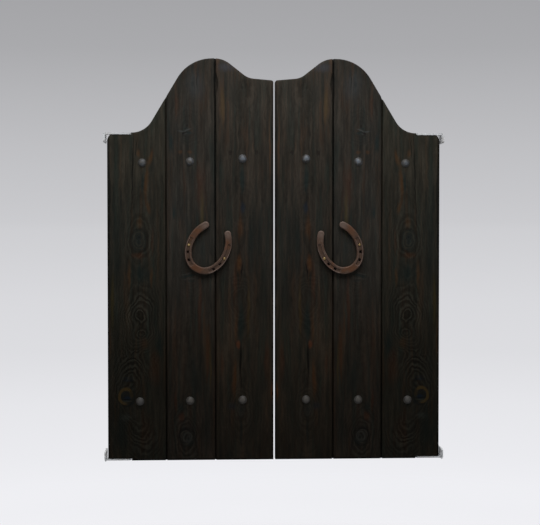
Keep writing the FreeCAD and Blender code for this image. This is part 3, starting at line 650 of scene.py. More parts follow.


# in each plank, the four levels up the leaf and the foot and crest tints are painted shade low down and
# painted light with a bluish sheen near the crest
OUTER_PLANK = StainedWood(
    "outer_plank_wood", 1.3, ring=0.0062, painted_light_levels=(0.49, 0.61, 1.07, 1.27), painted_foot_shade_tint=(1.0, 1.05, 0.98),
    painted_crest_sheen_tint=(1.0, 1.07, 1.07),
    log=rows(Station, (0.0, 0.09, 0.066, 0.6), (0.05, 0.088, 0.046, 0.8), (0.1, 0.074, 0.026, 0.4),
        (0.155, 0.046, 0.01, 0.2), (0.2, 0.058, 0.014, 0.75), (0.255, 0.063, 0.042, 0.95),
        (0.287, 0.072, 0.032, 0.35), (0.3135, 0.083, 0.012, 0.75), (0.335, 0.083, 0.017, 0.7),
        (0.3605, 0.082, 0.011, 0.95), (0.4, 0.083, 0.028, 0.8), (0.45, 0.08, 0.042, 0.15),
        (0.505, 0.078, 0.028, 0.2), (0.547, 0.0775, 0.008, 0.35), (0.6, 0.078, 0.028, 0.25),
        (0.7, 0.085, 0.05, 0.08), (0.96, 0.09, 0.06, 0.08)),
    knots=rows(Knot,
        (0.0775, 0.549, 0.0185, 1.45, 0.008, (0.009, 0.011, 0.0105), (0.02, 0.0175, 0.013), 0.6, 0.0004),
        (0.0775, 0.556, 0.006, 1.0, 0.004, (0.0045, 0.005, 0.005), (0.018, 0.019, 0.0175), 0.65, 0.0002),
        (0.0459, 0.158, 0.0175, 1.1, 0.012, (0.007, 0.0075, 0.0072), (0.0125, 0.013, 0.0115), 0.75, 0.0006)),
    scars_and_edge_shade=rows(Stain, (0.0445, 0.161, 0.0155, 0.018, (0.056, 0.035, 0.014), 0.8, 0.25, 0.26),
        (0.056, 0.148, 0.013, 0.012, (0.0085, 0.0092, 0.0088), 0.85, 0.5),
        (0.061, 0.164, 0.007, 0.015, (0.0095, 0.0095, 0.0085), 0.65, -0.2),
        (0.05, 0.156, 0.01, 0.006, (0.008, 0.012, 0.02), 0.8), (0.049, 0.153, 0.0125, 0.0014, SOOT_AND_SHADE, 0.8),
        (0.048, 0.149, 0.013, 0.0018, PALE, 0.6), (0.043, 0.144, 0.009, 0.0016, PALE, 0.35),
        # the two near-black lines here, down the hinge edge and along the foot, are painted shade on the
        # rounded edges
        (0.001, 0.4, 0.0045, 0.6, SOOT_AND_SHADE, 0.85), (0.07, 0.0005, 0.14, 0.004, SOOT_AND_SHADE, 0.85)),
    stains=rows(Stain, (0.104, 0.75, 0.0065, 0.024, ORANGE, 0.65, 0.25),
        (0.0945, 0.69, 0.0068, 0.045, ORANGE, 0.75, 0.03), (0.099, 0.632, 0.0058, 0.022, ORANGE, 0.65, -0.2),
        (0.0761, 0.7635, 0.0045, 0.012, ORANGE, 0.55), (0.085, 0.695, 0.0055, 0.032, TEAL, 0.85),
        (0.0775, 0.592, 0.008, 0.016, ORANGE, 0.5), (0.076, 0.511, 0.014, 0.0085, RUST, 0.75),
        (0.0817, 0.464, 0.0185, 0.032, TEAL, 0.8), (0.0555, 0.458, 0.0046, 0.04, ORANGE, 0.6),
        (0.1075, 0.458, 0.0044, 0.026, ORANGE, 0.5), (0.109, 0.545, 0.0042, 0.04, RUST, 0.5),
        (0.02, 0.58, 0.015, 0.2, TEAL, 0.35), (0.013, 0.395, 0.005, 0.07, (0.034, 0.024, 0.0085), 0.55),
        (0.006, 0.3, 0.0035, 0.06, ORANGE, 0.4), (0.1285, 0.285, 0.011, 0.038, TEAL, 0.75),
        (0.0935, 0.292, 0.01, 0.016, ORANGE, 0.45), (0.1147, 0.232, 0.0165, 0.046, RUST, 0.6),
        (0.05, 0.2, 0.016, 0.0032, BLUE, 0.65), (0.05, 0.206, 0.014, 0.002, BLUE, 0.5),
        (0.047, 0.1445, 0.015, 0.0022, PALE, 0.5), (0.0459, 0.108, 0.014, 0.009, PALE, 0.4),
        (0.025, 0.06, 0.022, 0.055, TEAL, 0.55), (0.08, 0.145, 0.012, 0.02, TEAL, 0.45),
        (0.095, 0.075, 0.018, 0.045, RUST, 0.35)),
    checks=rows(Check, ((0.057, 0.585), (0.0637, 0.812)), ((0.07, 0.745), (0.0718, 0.805), 0.0009, 0.0006)))
# painted shade low on the leaf and painted light with a bluish sheen near the crest, as on the outer plank
MIDDLE_PLANK = StainedWood(
    "middle_plank_wood", 4.9, painted_light_levels=(0.6, 0.79, 1.4, 1.25), painted_foot_shade_tint=(1.04, 0.97, 0.94),
    painted_crest_sheen_tint=(0.98, 1.03, 1.12), ring=0.006,
    log=rows(Station, (0.0, 0.196, 0.032, 0.45), (0.058, 0.196, 0.006, 0.6), (0.11, 0.19, 0.03, 0.3),
        (0.2, 0.205, 0.05, 0.1), (0.31, 0.19, 0.028, 0.12), (0.4, 0.212, 0.052, 0.08),
        (0.462, 0.199, 0.016, 0.12), (0.52, 0.212, 0.048, 0.08), (0.78, 0.205, 0.056, 0.1),
        (0.826, 0.196, 0.03, 0.1), (0.88, 0.205, 0.05, 0.1), (1.0, 0.205, 0.06, 0.12)),
    knots=(Knot(0.196, 0.058, 0.02, 1.1, 0.01, (0.0085, 0.009, 0.0075), (0.027, 0.026, 0.022), 0.65, 0.0005),
        Knot(0.19, 0.813, 0.003, 1.2, 0.002, strength=0.95, dish=0.0004),
        Knot(0.199, 0.833, 0.0026, 1.2, 0.002, strength=0.9, dish=0.0004),
        Knot(0.181, 0.31, 0.01, 1.1, 0.008, strength=0.18)),
    scars_and_edge_shade=rows(Stain, (0.193, 0.061, 0.015, 0.017, SOOT_AND_SHADE, 0.7, 0.3, 0.16),
        (0.204, 0.047, 0.012, 0.013, TEAL, 0.45), (0.199, 0.057, 0.0105, 0.0115, PALE, 0.45, 0.3, 0.2),
        (0.201, 0.054, 0.005, 0.006, PALE, 0.4, 0.3, 0.32), (0.185, 0.819, 0.0024, 0.0105, PALE, 0.5, 1.62),
        (0.201, 0.8225, 0.0024, 0.01, PALE, 0.6, 1.15), (0.196, 0.812, 0.0016, 0.006, PALE, 0.35, 1.4),
        (0.195, 0.827, 0.0022, 0.006, TEAL, 0.7, 1.3), (0.196, 0.466, 0.0018, 0.019, PALE, 0.32, 1.36),
        (0.199, 0.46, 0.0036, 0.022, TEAL, 0.75, 1.44), (0.2, 0.453, 0.002, 0.02, PALE, 0.26, 1.5),
        # the near-black line along the foot on this row is painted shade on the rounded edge
        (0.206, 0.447, 0.0026, 0.014, TEAL, 0.5, 1.5), (0.206, 0.0005, 0.14, 0.0036, SOOT_AND_SHADE, 0.8),
        (0.2671, 0.86, 0.0025, 0.42, SOOT_AND_SHADE, 0.8)),
    stains=rows(Stain, (0.205, 0.815, 0.008, 0.0045, TEAL, 0.7), (0.16, 0.788, 0.005, 0.026, TEAL, 0.8),
        (0.182, 0.768, 0.006, 0.005, ORANGE, 0.45), (0.206, 0.768, 0.006, 0.005, ORANGE, 0.45),
        (0.23, 0.69, 0.012, 0.065, RUST, 0.5), (0.235, 0.62, 0.005, 0.06, (0.034, 0.024, 0.0095), 0.55),
        (0.164, 0.616, 0.0042, 0.018, TEAL, 0.8), (0.23, 0.39, 0.0045, 0.08, RUST, 0.55),
        (0.248, 0.27, 0.008, 0.07, ORANGE, 0.55), (0.241, 0.33, 0.0035, 0.08, ORANGE, 0.45),
        (0.256, 0.23, 0.003, 0.06, (0.036, 0.026, 0.01), 0.55), (0.215, 0.215, 0.018, 0.07, TEAL, 0.4),
        (0.1835, 0.108, 0.009, 0.012, RUST, 0.75), (0.18, 0.131, 0.007, 0.018, TEAL, 0.75),
        (0.169, 0.15, 0.004, 0.03, RUST, 0.5), (0.22, 0.93, 0.024, 0.04, (0.024, 0.025, 0.024), 0.45),
        (0.172, 0.88, 0.0045, 0.04, RUST, 0.4)),
    checks=rows(Check, ((0.2215, 0.905), (0.224, 0.974), 0.0008, 0.0006)))
# painted shade low on the leaf and painted light with a bluish sheen near the crest, as on the outer plank
INNER_PLANK = StainedWood(
    "inner_plank_wood", 7.4, painted_light_levels=(0.57, 0.91, 1.11, 1.48), painted_foot_shade_tint=(1.05, 0.98, 0.9),
    painted_crest_sheen_tint=(1.03, 1.03, 1.07), ring=0.0056,
    log=rows(Station, (0.0, 0.335, 0.048, 0.15), (0.07, 0.333, 0.03, 0.22), (0.132, 0.332, 0.01, 0.32),
        (0.18, 0.331, 0.03, 0.2), (0.25, 0.33, 0.046, 0.12), (0.34, 0.332, 0.034, 0.2),
        (0.405, 0.329, 0.018, 0.22), (0.46, 0.328, 0.04, 0.2), (0.58, 0.33, 0.048, 0.12),
        (0.63, 0.336, 0.034, 0.08), (0.7, 0.338, 0.052, 0.12), (1.0, 0.342, 0.062, 0.12)),
    knots=(Knot(0.3065, 0.766, 0.0032, 1.5, 0.002, strength=0.95, dish=0.0005),
        Knot(0.37, 0.7675, 0.0032, 1.3, 0.002, strength=0.95, dish=0.0005),
        Knot(0.332, 0.128, 0.0115, 1.75, 0.009, (0.0088, 0.011, 0.011), (0.021, 0.02, 0.017), 0.5, 0.0004)),
    # both near-black lines, along the foot and down the meeting edge, are painted shade on the rounded edges
    scars_and_edge_shade=rows(Stain, (0.34, 0.0005, 0.16, 0.0036, SOOT_AND_SHADE, 0.8), (0.411, 0.45, 0.0034, 0.6, SOOT_AND_SHADE, 0.95)),
    stains=rows(Stain, (0.335, 0.7, 0.006, 0.032, TEAL, 0.75, -0.05), (0.336, 0.63, 0.0065, 0.014, BLUE, 0.7),
        (0.3295, 0.578, 0.0085, 0.026, ORANGE, 0.55), (0.3265, 0.491, 0.006, 0.018, ORANGE, 0.85),
        (0.316, 0.45, 0.0045, 0.05, RUST, 0.55), (0.332, 0.34, 0.0085, 0.045, TEAL, 0.85),
        (0.324, 0.2885, 0.0046, 0.01, (0.056, 0.021, 0.011), 0.8), (0.3305, 0.245, 0.0046, 0.036, SOOT_AND_SHADE, 0.8),
        (0.3325, 0.2, 0.003, 0.026, SOOT_AND_SHADE, 0.75), (0.316, 0.205, 0.0065, 0.048, ORANGE, 0.7),
        (0.35, 0.38, 0.004, 0.07, (0.034, 0.023, 0.009), 0.45), (0.318, 0.33, 0.004, 0.04, ORANGE, 0.5),
        (0.4075, 0.172, 0.003, 0.024, (0.06, 0.024, 0.008), 0.7), (0.309, 0.134, 0.012, 0.01, BLUE, 0.6),
        (0.404, 0.78, 0.003, 0.08, ORANGE, 0.5), (0.285, 0.24, 0.006, 0.04, RUST, 0.45),
        (0.395, 0.25, 0.008, 0.05, RUST, 0.45), (0.333, 0.06, 0.004, 0.04, TEAL, 0.6),
        # the bluish patch near the crest at run 0.293 is a painted sheen
        (0.293, 0.978, 0.022, 0.012, (0.026, 0.029, 0.036), 0.35), (0.365, 0.56, 0.02, 0.12, TEAL, 0.25),
        (0.285, 0.885, 0.006, 0.045, (0.036, 0.025, 0.012), 0.55)),
    checks=rows(Check, ((0.33, 0.186), (0.3308, 0.292), 0.0014, 0.0012),
        ((0.329, 0.445), (0.337, 0.5), 0.0009, 0.0006)))
LOWER_BATTEN = StainedWood(
    "lower_batten_wood", 11.2, upright=False, ring=0.0062,
    log=rows(Station, (0.0, 0.28, 0.075, 0.2), (1.0, 0.36, 0.09, 0.2)))
UPPER_BATTEN = StainedWood(
    "upper_batten_wood", 13.8, upright=False, ring=0.0058,
    log=rows(Station, (0.0, 0.05, 0.085, 0.2), (1.0, 0.2, 0.07, 0.2)))


# ---- metals

@dataclass(frozen=True)
class AgedMetal:
    """Bare or plated metal with cloudy tone, pits and tarnish.

    The foot's tone, a painted shade, takes over low on the leaf, the hinge side's near the jamb, and a
    painted shade round a rim, where the surface turns away from the front.
    """

    name: str
    bright: Colour
    dull: Colour
    grain: float = 700.0
    patch: float = 90.0
    rough: Spot = (0.3, 0.55)
    relief: float = 0.00012
    metallic: float = 1.0
    gloss: float = 0.5
    foot: Colour | None = None
    hinge_side: Colour | None = None
    painted_rim_shade: Colour | None = None

    def material(self) -> Material:
        """Build the metal.

        Returns:
            The material.
        """
        recipe = Recipe(bpy.data.materials.new(self.name))
        at = recipe.position()
        cloud = recipe.noise(at, self.patch, 4.0, 0.6)
        fine = recipe.noise(at, self.grain, 3.0, 0.6)
        tarnish = recipe.smooth(recipe.scaled(fine, 0.35, cloud), 0.55, 0.8)
        low, high = self.rough
        roughness = recipe.scaled(tarnish, high - low, low)
        height = recipe.scaled(fine, 0.6, cloud)
        bright = self.bright
        # painted shade: the foot's darker tone takes over low on the leaf
        if self.foot:
            bright = recipe.mix(recipe.smooth(recipe.part(at, 2), 0.15, 0.7), self.foot, self.bright)
        if self.hinge_side:
            aside = recipe.math("ABSOLUTE", recipe.minus(recipe.part(at, 0), DOORWAY_WIDTH / 2))
            bright = recipe.tint(bright, self.hinge_side, recipe.smooth(aside, 0.23, 0.31), 0.6)
        colour = recipe.mix(tarnish, bright, self.dull)
        # painted shade round the rim, where the surface turns away from the front
        if self.painted_rim_shade:
            facing = recipe.part(recipe.add("ShaderNodeTexCoord").outputs["Normal"], 1)
            colour = recipe.tint(colour, self.painted_rim_shade, recipe.smooth(facing, -0.95, -0.75), 0.85)
        return recipe.surface(colour, roughness, recipe.bump(height, self.relief), self.metallic,
                              Specular_IOR_Level=self.gloss)


@dataclass(frozen=True)
class RustedIron:
    """Forged iron under a dry tan-brown rust, with painted highlights on its high edges and heel tops,
    painted shade in its hollows, and red rust with painted shade in its empty nail holes.
    """

    name: str
    rust: Colour = (0.051, 0.0272, 0.0158)
    orange: Colour = (0.064, 0.025, 0.0095)
    deep: Colour = (0.026, 0.013, 0.0085)
    groove_brown: Colour = (0.028, 0.019, 0.012)
    hole_rust_and_shade: Colour = (0.02, 0.0062, 0.0045)
    rubbed_and_lit: Colour = (0.102, 0.072, 0.058)
    edge_highlight: Colour = (0.135, 0.1, 0.086)
    warm: tuple[Spot, ...] = ((0.217, 0.479), (0.227, 0.567))
    heel_highlights: tuple[Spot, ...] = ((0.24369, 0.58701), (0.29807, 0.56409))
    empty_holes: tuple[Spot, ...] = (
        (0.20141, 0.49998), (0.19893, 0.51966), (0.26282, 0.47695), (0.27879, 0.48931))

    def marked(self, recipe: Recipe, colour: object, other: Colour, spots: tuple[Spot, ...], size: float,
               share: float) -> Socket:
        """Lay soft round patches over a colour.

        Args:
            recipe: the material's recipe.
            colour: the colour so far.
            other: the patches' colour.
            spots: run and rise of each patch, which is on both leaves.
            size: how far a patch reaches, in metres.
            share: how strong it is in its middle.

        Returns:
            The new colour.
        """
        at = recipe.position()
        middle = DOORWAY_WIDTH / 2
        for spot_run, spot_rise in spots:
            run = recipe.math("ABSOLUTE", recipe.minus(recipe.part(at, 0), middle))
            run = recipe.minus(run, middle - LEAF_EDGE - spot_run)
            rise = recipe.minus(recipe.part(at, 2), LEAF_FOOT + spot_rise)
            near = recipe.bell(recipe.hypotenuse(run, rise), 1 / size ** 2)
            colour = recipe.tint(colour, other, near, share)
        return colour

    def material(self) -> Material:
        """Build the iron.

        Returns:
            The material.
        """
        recipe = Recipe(bpy.data.materials.new(self.name))
        at = recipe.position()
        cloud = recipe.noise(at, 55.0, 4.0, 0.62)
        scale = recipe.noise(at, 420.0, 4.0, 0.65)
        pits = recipe.noise(at, 1500.0, 2.0, 0.5)
        blend = recipe.scaled(scale, 0.45, recipe.times(cloud, 0.6))
        tones = [(0.36, self.deep), (0.48, self.rust), (0.6, self.rust), (0.74, self.rubbed_and_lit)]
        colour = recipe.ramp(blend, tones)
        colour = recipe.mix(recipe.smooth(recipe.noise(at, 38.0, 2.0, 0.5), 0.52, 0.66), colour, self.orange)
        colour = self.marked(recipe, colour, self.orange, self.warm, 0.013, 0.9)
        # painted highlight on the heel tops, where the light from above catches them
        colour = self.marked(recipe, colour, self.rubbed_and_lit, self.heel_highlights, 0.011, 0.8)
        # darker brown in the fuller groove and down the shoe's sides, near the wood
        groove = recipe.smooth(recipe.part(at, 1), LEAF_FRONT - 0.0084, LEAF_FRONT - 0.0062)
        colour = recipe.tint(colour, self.groove_brown, groove, 0.28)
        # darker red in the empty nail holes: red rust and painted shade
        colour = self.marked(recipe, colour, self.hole_rust_and_shade, self.empty_holes, 0.0042, 0.9)
        sharp = recipe.add("ShaderNodeNewGeometry").outputs["Pointiness"]
        # painted highlight on the convex edges
        colour = recipe.tint(colour, self.edge_highlight, recipe.smooth(sharp, 0.505, 0.545), 0.75)
        # painted shade in the concave hollows and creases, in the deep rust tone
        colour = recipe.tint(colour, self.deep, recipe.smooth(sharp, 0.495, 0.43), 0.14)
        height = recipe.scaled(pits, 0.35, scale)
        roughness = recipe.scaled(scale, 0.25, 0.45)
        return recipe.surface(colour, roughness, recipe.bump(height, 0.0003), 0.1, Specular_IOR_Level=0.24)


@dataclass(frozen=True)
class WornPaint:
    """Satin paint on steel, soiled in patches and chipped here and there."""

    name: str
    paint: Colour = (0.46, 0.47, 0.485)
    soiled: Colour = (0.39, 0.385, 0.375)
    steel: Colour = (0.26, 0.25, 0.24)

    def material(self) -> Material:
        """Build the paint.

        Returns:
            The material.
        """
        recipe = Recipe(bpy.data.materials.new(self.name))
        at = recipe.position()
        peel = recipe.noise(at, 900.0, 3.0, 0.55)
        cloud = recipe.noise(at, 60.0, 3.0, 0.5)
        colour = recipe.mix(recipe.smooth(cloud, 0.45, 0.75), self.paint, self.soiled)
        colour = recipe.mix(recipe.smooth(recipe.noise(at, 240.0, 3.0, 0.7), 0.7, 0.73), colour, self.steel)
        roughness = recipe.scaled(peel, 0.2, 0.35)
        return recipe.surface(colour, roughness, recipe.bump(peel, 0.0001), Specular_IOR_Level=0.4)


# the bolts' foot tone and rim tone are painted shade, darker low on the leaf and round each head's rim
BOLT_STEEL = AgedMetal(
    "bolt_steel", (0.088, 0.1, 0.116), (0.06, 0.056, 0.05), patch=70.0, rough=(0.45, 0.65),
    relief=0.00018, metallic=0.05, gloss=0.15, foot=(0.062, 0.057, 0.051),
    hinge_side=(0.04, 0.042, 0.044), painted_rim_shade=(0.014, 0.013, 0.0115))
ZINC = AgedMetal("zinc_steel", (0.42, 0.43, 0.44), (0.22, 0.22, 0.22), rough=(0.34, 0.58))
OILED_STEEL = AgedMetal("spring_steel", (0.2, 0.2, 0.21), (0.07, 0.065, 0.06), rough=(0.28, 0.5))
BRONZE = AgedMetal("bearing_bronze", (0.38, 0.23, 0.1), (0.2, 0.115, 0.05))
BRASS = AgedMetal("nail_brass", (0.25, 0.175, 0.068), (0.15, 0.095, 0.04), rough=(0.34, 0.55), metallic=0.55)
SHOE_IRON = RustedIron("rusty_iron")
BRACKET_PAINT = WornPaint("bracket_paint")
METALS = (BOLT_STEEL, ZINC, OILED_STEEL, BRONZE, BRASS, SHOE_IRON, BRACKET_PAINT)
MATERIALS: dict[str, Material] = {}


# ---- mesh helpers

def add_piece(name: str, form: Form, material: Material) -> Piece:
    """Turn a built form into a smooth-shaded piece.

    Args:
        name: the piece's name.
        form: the built mesh, which is freed.
        material: its finish.

    Returns:
        The object, linked to the scene.
    """
    bmesh.ops.recalc_face_normals(form, faces=form.faces)
    mesh = bpy.data.meshes.new(name)
    form.to_mesh(mesh)
    form.free()
    mesh.materials.append(material)
    mesh.shade_smooth()
    mesh.set_sharp_from_angle(angle=math.radians(38))
    piece = bpy.data.objects.new(name, mesh)
    bpy.context.scene.collection.objects.link(piece)
    return piece


def dress(piece: Piece, material: Material) -> Piece:
    """Give a CAD piece its finish in every one of its slots.

    Args:
        piece: the CAD piece.
        material: its finish.

    Returns:
        The same piece.
    """
    for slot in piece.material_slots:
        slot.material = material
    return piece


def lathe(profile: list[Spot], centre: Point, axis: Point, turns: int = 36) -> Form:
    """Turn a profile about an axis.

    Args:
        profile: distance along the axis and radius of each point; a radius of 0 closes the end.
        centre: where the profile's distance is 0.
        axis: the way it runs.
        turns: corners around.

    Returns:
        The closed form.
    """
    form = bmesh.new()
    rings = []
    for along, radius in profile:
        spots = 1 if radius == 0.0 else turns
        angles = [2 * math.pi * spot / turns for spot in range(spots)]
        rings.append([form.verts.new((radius * math.cos(a), radius * math.sin(a), along)) for a in angles])
    for low, high in zip(rings, rings[1:]):
        for spot in range(turns):
            corners = [ring[number % len(ring)] for ring, number
                       in ((low, spot), (low, spot + 1), (high, spot + 1), (high, spot))]
            form.faces.new(list(dict.fromkeys(corners)))
    form.transform(Matrix.Translation(centre) @ Vector(axis).to_track_quat("Z", "X").to_matrix().to_4x4())
    return form


def joined(forms: list[Form]) -> Form:
    """Put several forms in one.

    Args:
        forms: the forms, which are freed.

    Returns:
        The one form.
    """
    whole = bmesh.new()
    for form in forms:
        scrap = bpy.data.meshes.new("scrap")
        form.to_mesh(scrap)
        form.free()
        whole.from_mesh(scrap)
        bpy.data.meshes.remove(scrap)
    return whole


def roughen(form: Form, size: float, amount: float, seed: float, behind: float = math.inf) -> None:
    """Push points a little along their normals, by smooth noise.

    Args:
        form: the mesh.
        size: how wide the lumps are, in metres.
        amount: how far a point may move, in metres.
        seed: which noise.
        behind: points at this depth or deeper stay where they are.
    """
    form.normal_update()
    shift = Vector((seed, seed * 2.1, seed * 0.7))
    verts = [vert for vert in form.verts if vert.co.y < behind]
    moves = [noise.noise(vert.co / size + shift) * amount * vert.normal for vert in verts]
    for vert, move in zip(verts, moves):
        vert.co += move


def slice_up(form: Form, axis: int, places: list[float]) -> None:
    """Cut a mesh along parallel planes, so that it has points to move.

    Args:
        form: the mesh.
        axis: 0 for planes across x, 2 for planes across z.
        places: where the planes are.
    """
    normal = Vector([float(number == axis) for number in range(3)])
    for place in places:
        geometry = form.verts[:] + form.edges[:] + form.faces[:]
        bmesh.ops.bisect_plane(form, geom=geometry, dist=1e-6, plane_co=normal * place, plane_no=normal)


# ---- sub-assemblies

@dataclass
class Planks:
    """The three planks of a leaf: CAD boards with hand-worn faces, cracks and dished knots."""

    side: Side
    woods: tuple[tuple[str, StainedWood], ...] = (
        ("outer_plank", OUTER_PLANK), ("middle_plank", MIDDLE_PLANK), ("inner_plank", INNER_PLANK))
    column: float = 0.003
    row: float = 0.007
    half_thickness: float = 0.014
    wave: float = 0.00055
    rib: float = 0.00022
    cup: float = 0.0005
    edge_wear: float = 0.0007
    edge_start: float = 0.93
    dish_width: float = 0.35
    seat_radius: float = 0.0095
    seat_blend: float = 0.006
    face_start: float = 0.8
    crack_steps: int = 6
    wave_rate: Spot = (16, 5)
    rib_rate: Spot = (130, 9)

    def worn(self, wood: StainedWood, run: float, rise: float, across: float) -> float:
        """How far the front face is worn back at a place.

        Args:
            wood: the board's wood.
            run: distance from the hinge edge.
            rise: height above the foot.
            across: place across the board, -1 to 1.

        Returns:
            The depth in metres, never below 0.
        """
        spot = Vector((run, wood.seed, rise))
        wave = 0.5 + 0.5 * noise.noise(spot * Vector((self.wave_rate[0], 1, self.wave_rate[1])))
        rib = 0.5 + 0.5 * noise.noise(spot * Vector((self.rib_rate[0], 1, self.rib_rate[1])))
        depth = self.wave * wave + self.rib * rib + self.cup * across * across
        chipped = 0.5 + noise.noise(Vector((0, spot.y, rise * 60)))
        depth += self.edge_wear * max(0.0, abs(across) - self.edge_start) / (1 - self.edge_start) * chipped
        for knot in wood.knots:
            across_knot, up_knot = knot.radius, knot.radius * knot.stretch
            far = math.hypot((run - knot.run) / across_knot, (rise - knot.rise) / up_knot)
            depth += knot.dish * math.exp(-((far - 1.05) / self.dish_width) ** 2)
        for check in wood.checks:
            depth += check.depth * check.reach(run, rise)
        near = min(math.hypot(run - seat[0], rise - seat[1]) for seat in BOLT_PLACES)
        return max(0.0, depth) * min(1.0, max(0.0, (near - self.seat_radius) / self.seat_blend))

    def build_one(self, name: str, wood: StainedWood) -> Piece:
        """Cut up one board and wear its faces.

        Args:
            name: the board's node without its side.
            wood: its wood.

        Returns:
            The piece.
        """
        form = bmesh.new()
        form.from_mesh(self.side.node(name).data)
        bmesh.ops.remove_doubles(form, verts=form.verts, dist=1e-6)
        low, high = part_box(f"{self.side.value}_{name}")
        coarse = 1.0
        for axis, pitch in ((0, self.column), (2, self.row)):
            count = int((high[axis] - low[axis]) / (pitch * coarse))
            places = [low[axis] + step * pitch * coarse for step in range(1, count)]
            if axis == 0:
                places += [place for check in wood.checks for place in self.crack_places(check)]
            slice_up(form, axis, places)
        centre, half = self.side.run((low[0] + high[0]) / 2), (high[0] - low[0]) / 2
        for vert in form.verts:
            run, rise = self.side.run(vert.co.x), vert.co.z - LEAF_FOOT
            facing = vert.co.y / self.half_thickness
            share = (abs(facing) - self.face_start) / (1 - self.face_start)
            if facing < -self.face_start:
                vert.co.y += self.worn(wood, run, rise, (run - centre) / half) * share
            elif facing > self.face_start:
                wave = 0.5 + 0.5 * noise.noise(Vector((run * 20, wood.seed + 5, rise * 6)))
                vert.co.y -= self.wave * 0.6 * wave * share
        return add_piece(f"{self.side.value}_worn_{name}", form, wood.material(self.side))

    def crack_places(self, check: Check) -> list[float]:
        """Close planes across a crack, in doorway x.

        Args:
            check: the crack.

        Returns:
            Where the planes are.
        """
        middle = self.side.x((check.low[0] + check.high[0]) / 2)
        lean = abs(check.high[0] - check.low[0]) / 2 + check.width
        return [middle + lean * (step / self.crack_steps - 1) for step in range(2 * self.crack_steps + 1)]

    def build(self) -> list[Piece]:
        """Build the three boards."""
        return [self.side.own(self.build_one(name, wood), name, "plank_wood") for name, wood in self.woods]


@dataclass
class Battens:
    """The two battens across the rear of a leaf, in their CAD shape."""

    side: Side

    def build(self) -> list[Piece]:
        """Dress both battens."""
        return [dress(self.side.node("lower_batten"), LOWER_BATTEN.material(self.side)),
                dress(self.side.node("upper_batten"), UPPER_BATTEN.material(self.side))]


@dataclass
class Bolts:
    """The six carriage bolts of a leaf and their flange nuts."""

    side: Side
    head_radius: float = 0.0102
    head_height: float = 0.0047
    shank_radius: float = 0.004
    length: float = 0.062
    thread_start: float = 0.051
    thread_pitch: float = 0.00125
    nut_corner: float = 0.0075
    nut_height: float = 0.008
    flange_radius: float = 0.009
    nut_turns: int = 48
    batten_rear: float = 0.038

    def bolt(self, run: float, rise: float, number: int) -> Form:
        """One forged dome head with its shank and threaded tail.

        Args:
            run: distance from the hinge edge.
            rise: height above the foot.
            number: which bolt, so that no two are alike.

        Returns:
            The closed form.
        """
        dome = (self.head_radius ** 2 + self.head_height ** 2) / (2 * self.head_height)
        reach = math.asin(self.head_radius / dome)
        angles = [reach * step / 9 for step in range(9)]
        profile = [(-self.head_height + dome * (1 - math.cos(a)), dome * math.sin(a)) for a in angles]
        profile += [(-0.0004, self.head_radius), (0.0, self.head_radius * 0.985), (0.0, self.shank_radius)]
        along = self.thread_start
        while along < self.length - self.thread_pitch:
            profile += [(along, self.shank_radius), (along + self.thread_pitch / 2, self.shank_radius * 0.86)]
            along += self.thread_pitch
        profile += [(self.length - 0.0006, self.shank_radius * 0.92), (self.length, self.shank_radius * 0.74),
                    (self.length, 0.0)]
        form = lathe(profile, (self.side.x(run), LEAF_FRONT, LEAF_FOOT + rise), (0, 1, 0))
        roughen(form, 0.0045, 0.00028, 3.1 * number, LEAF_FRONT)
        return form

    def nut(self, run: float, rise: float) -> Form:
        """One hexagon nut with its washer flange and chamfered top.

        Args:
            run: distance from the hinge edge.
            rise: height above the foot.

        Returns:
            The form.
        """
        form = bmesh.new()
        spots = self.nut_turns
        outline = [(0.0, self.flange_radius), (0.001, self.flange_radius), (0.0018, self.nut_corner * 1.03),
                   (0.002, self.nut_corner), (self.nut_height - 0.0012, self.nut_corner),
                   (self.nut_height, self.nut_corner * 0.86), (self.nut_height, self.shank_radius * 1.02)]
        rings = []
        for number, (along, radius) in enumerate(outline):
            ring = []
            for spot in range(spots):
                angle = 2 * math.pi * spot / spots
                flat = self.nut_corner * math.cos(math.pi / 6) / math.cos(angle % (math.pi / 3) - math.pi / 6)
                reach = min(radius, flat) if 3 <= number <= 5 else radius
                ring.append(form.verts.new((reach * math.cos(angle), along, reach * math.sin(angle))))
            rings.append(ring)
        for low, high in zip(rings, rings[1:]):
            for spot in range(spots):
                after = (spot + 1) % spots
                form.faces.new([low[spot], low[after], high[after], high[spot]])
        form.transform(Matrix.Translation((self.side.x(run), self.batten_rear, LEAF_FOOT + rise)))
        return form

    def build(self) -> list[Piece]:
        """Build the bolts and nuts, in place of the plain ones.

        Returns:
            Both pieces.
        """
        bolts = joined([self.bolt(*place, number) for number, place in enumerate(BOLT_PLACES, start=1)])
        nuts = joined([self.nut(*place) for place in BOLT_PLACES])
        return [self.side.own(add_piece(f"{self.side.value}_domed_bolts", bolts, MATERIALS["bolt_steel"]),
                              "carriage_bolts", "bolt_steel"),
                self.side.own(add_piece(f"{self.side.value}_chamfered_nuts", nuts, MATERIALS["zinc_steel"]),
                              "flange_nuts", "zinc_steel")]


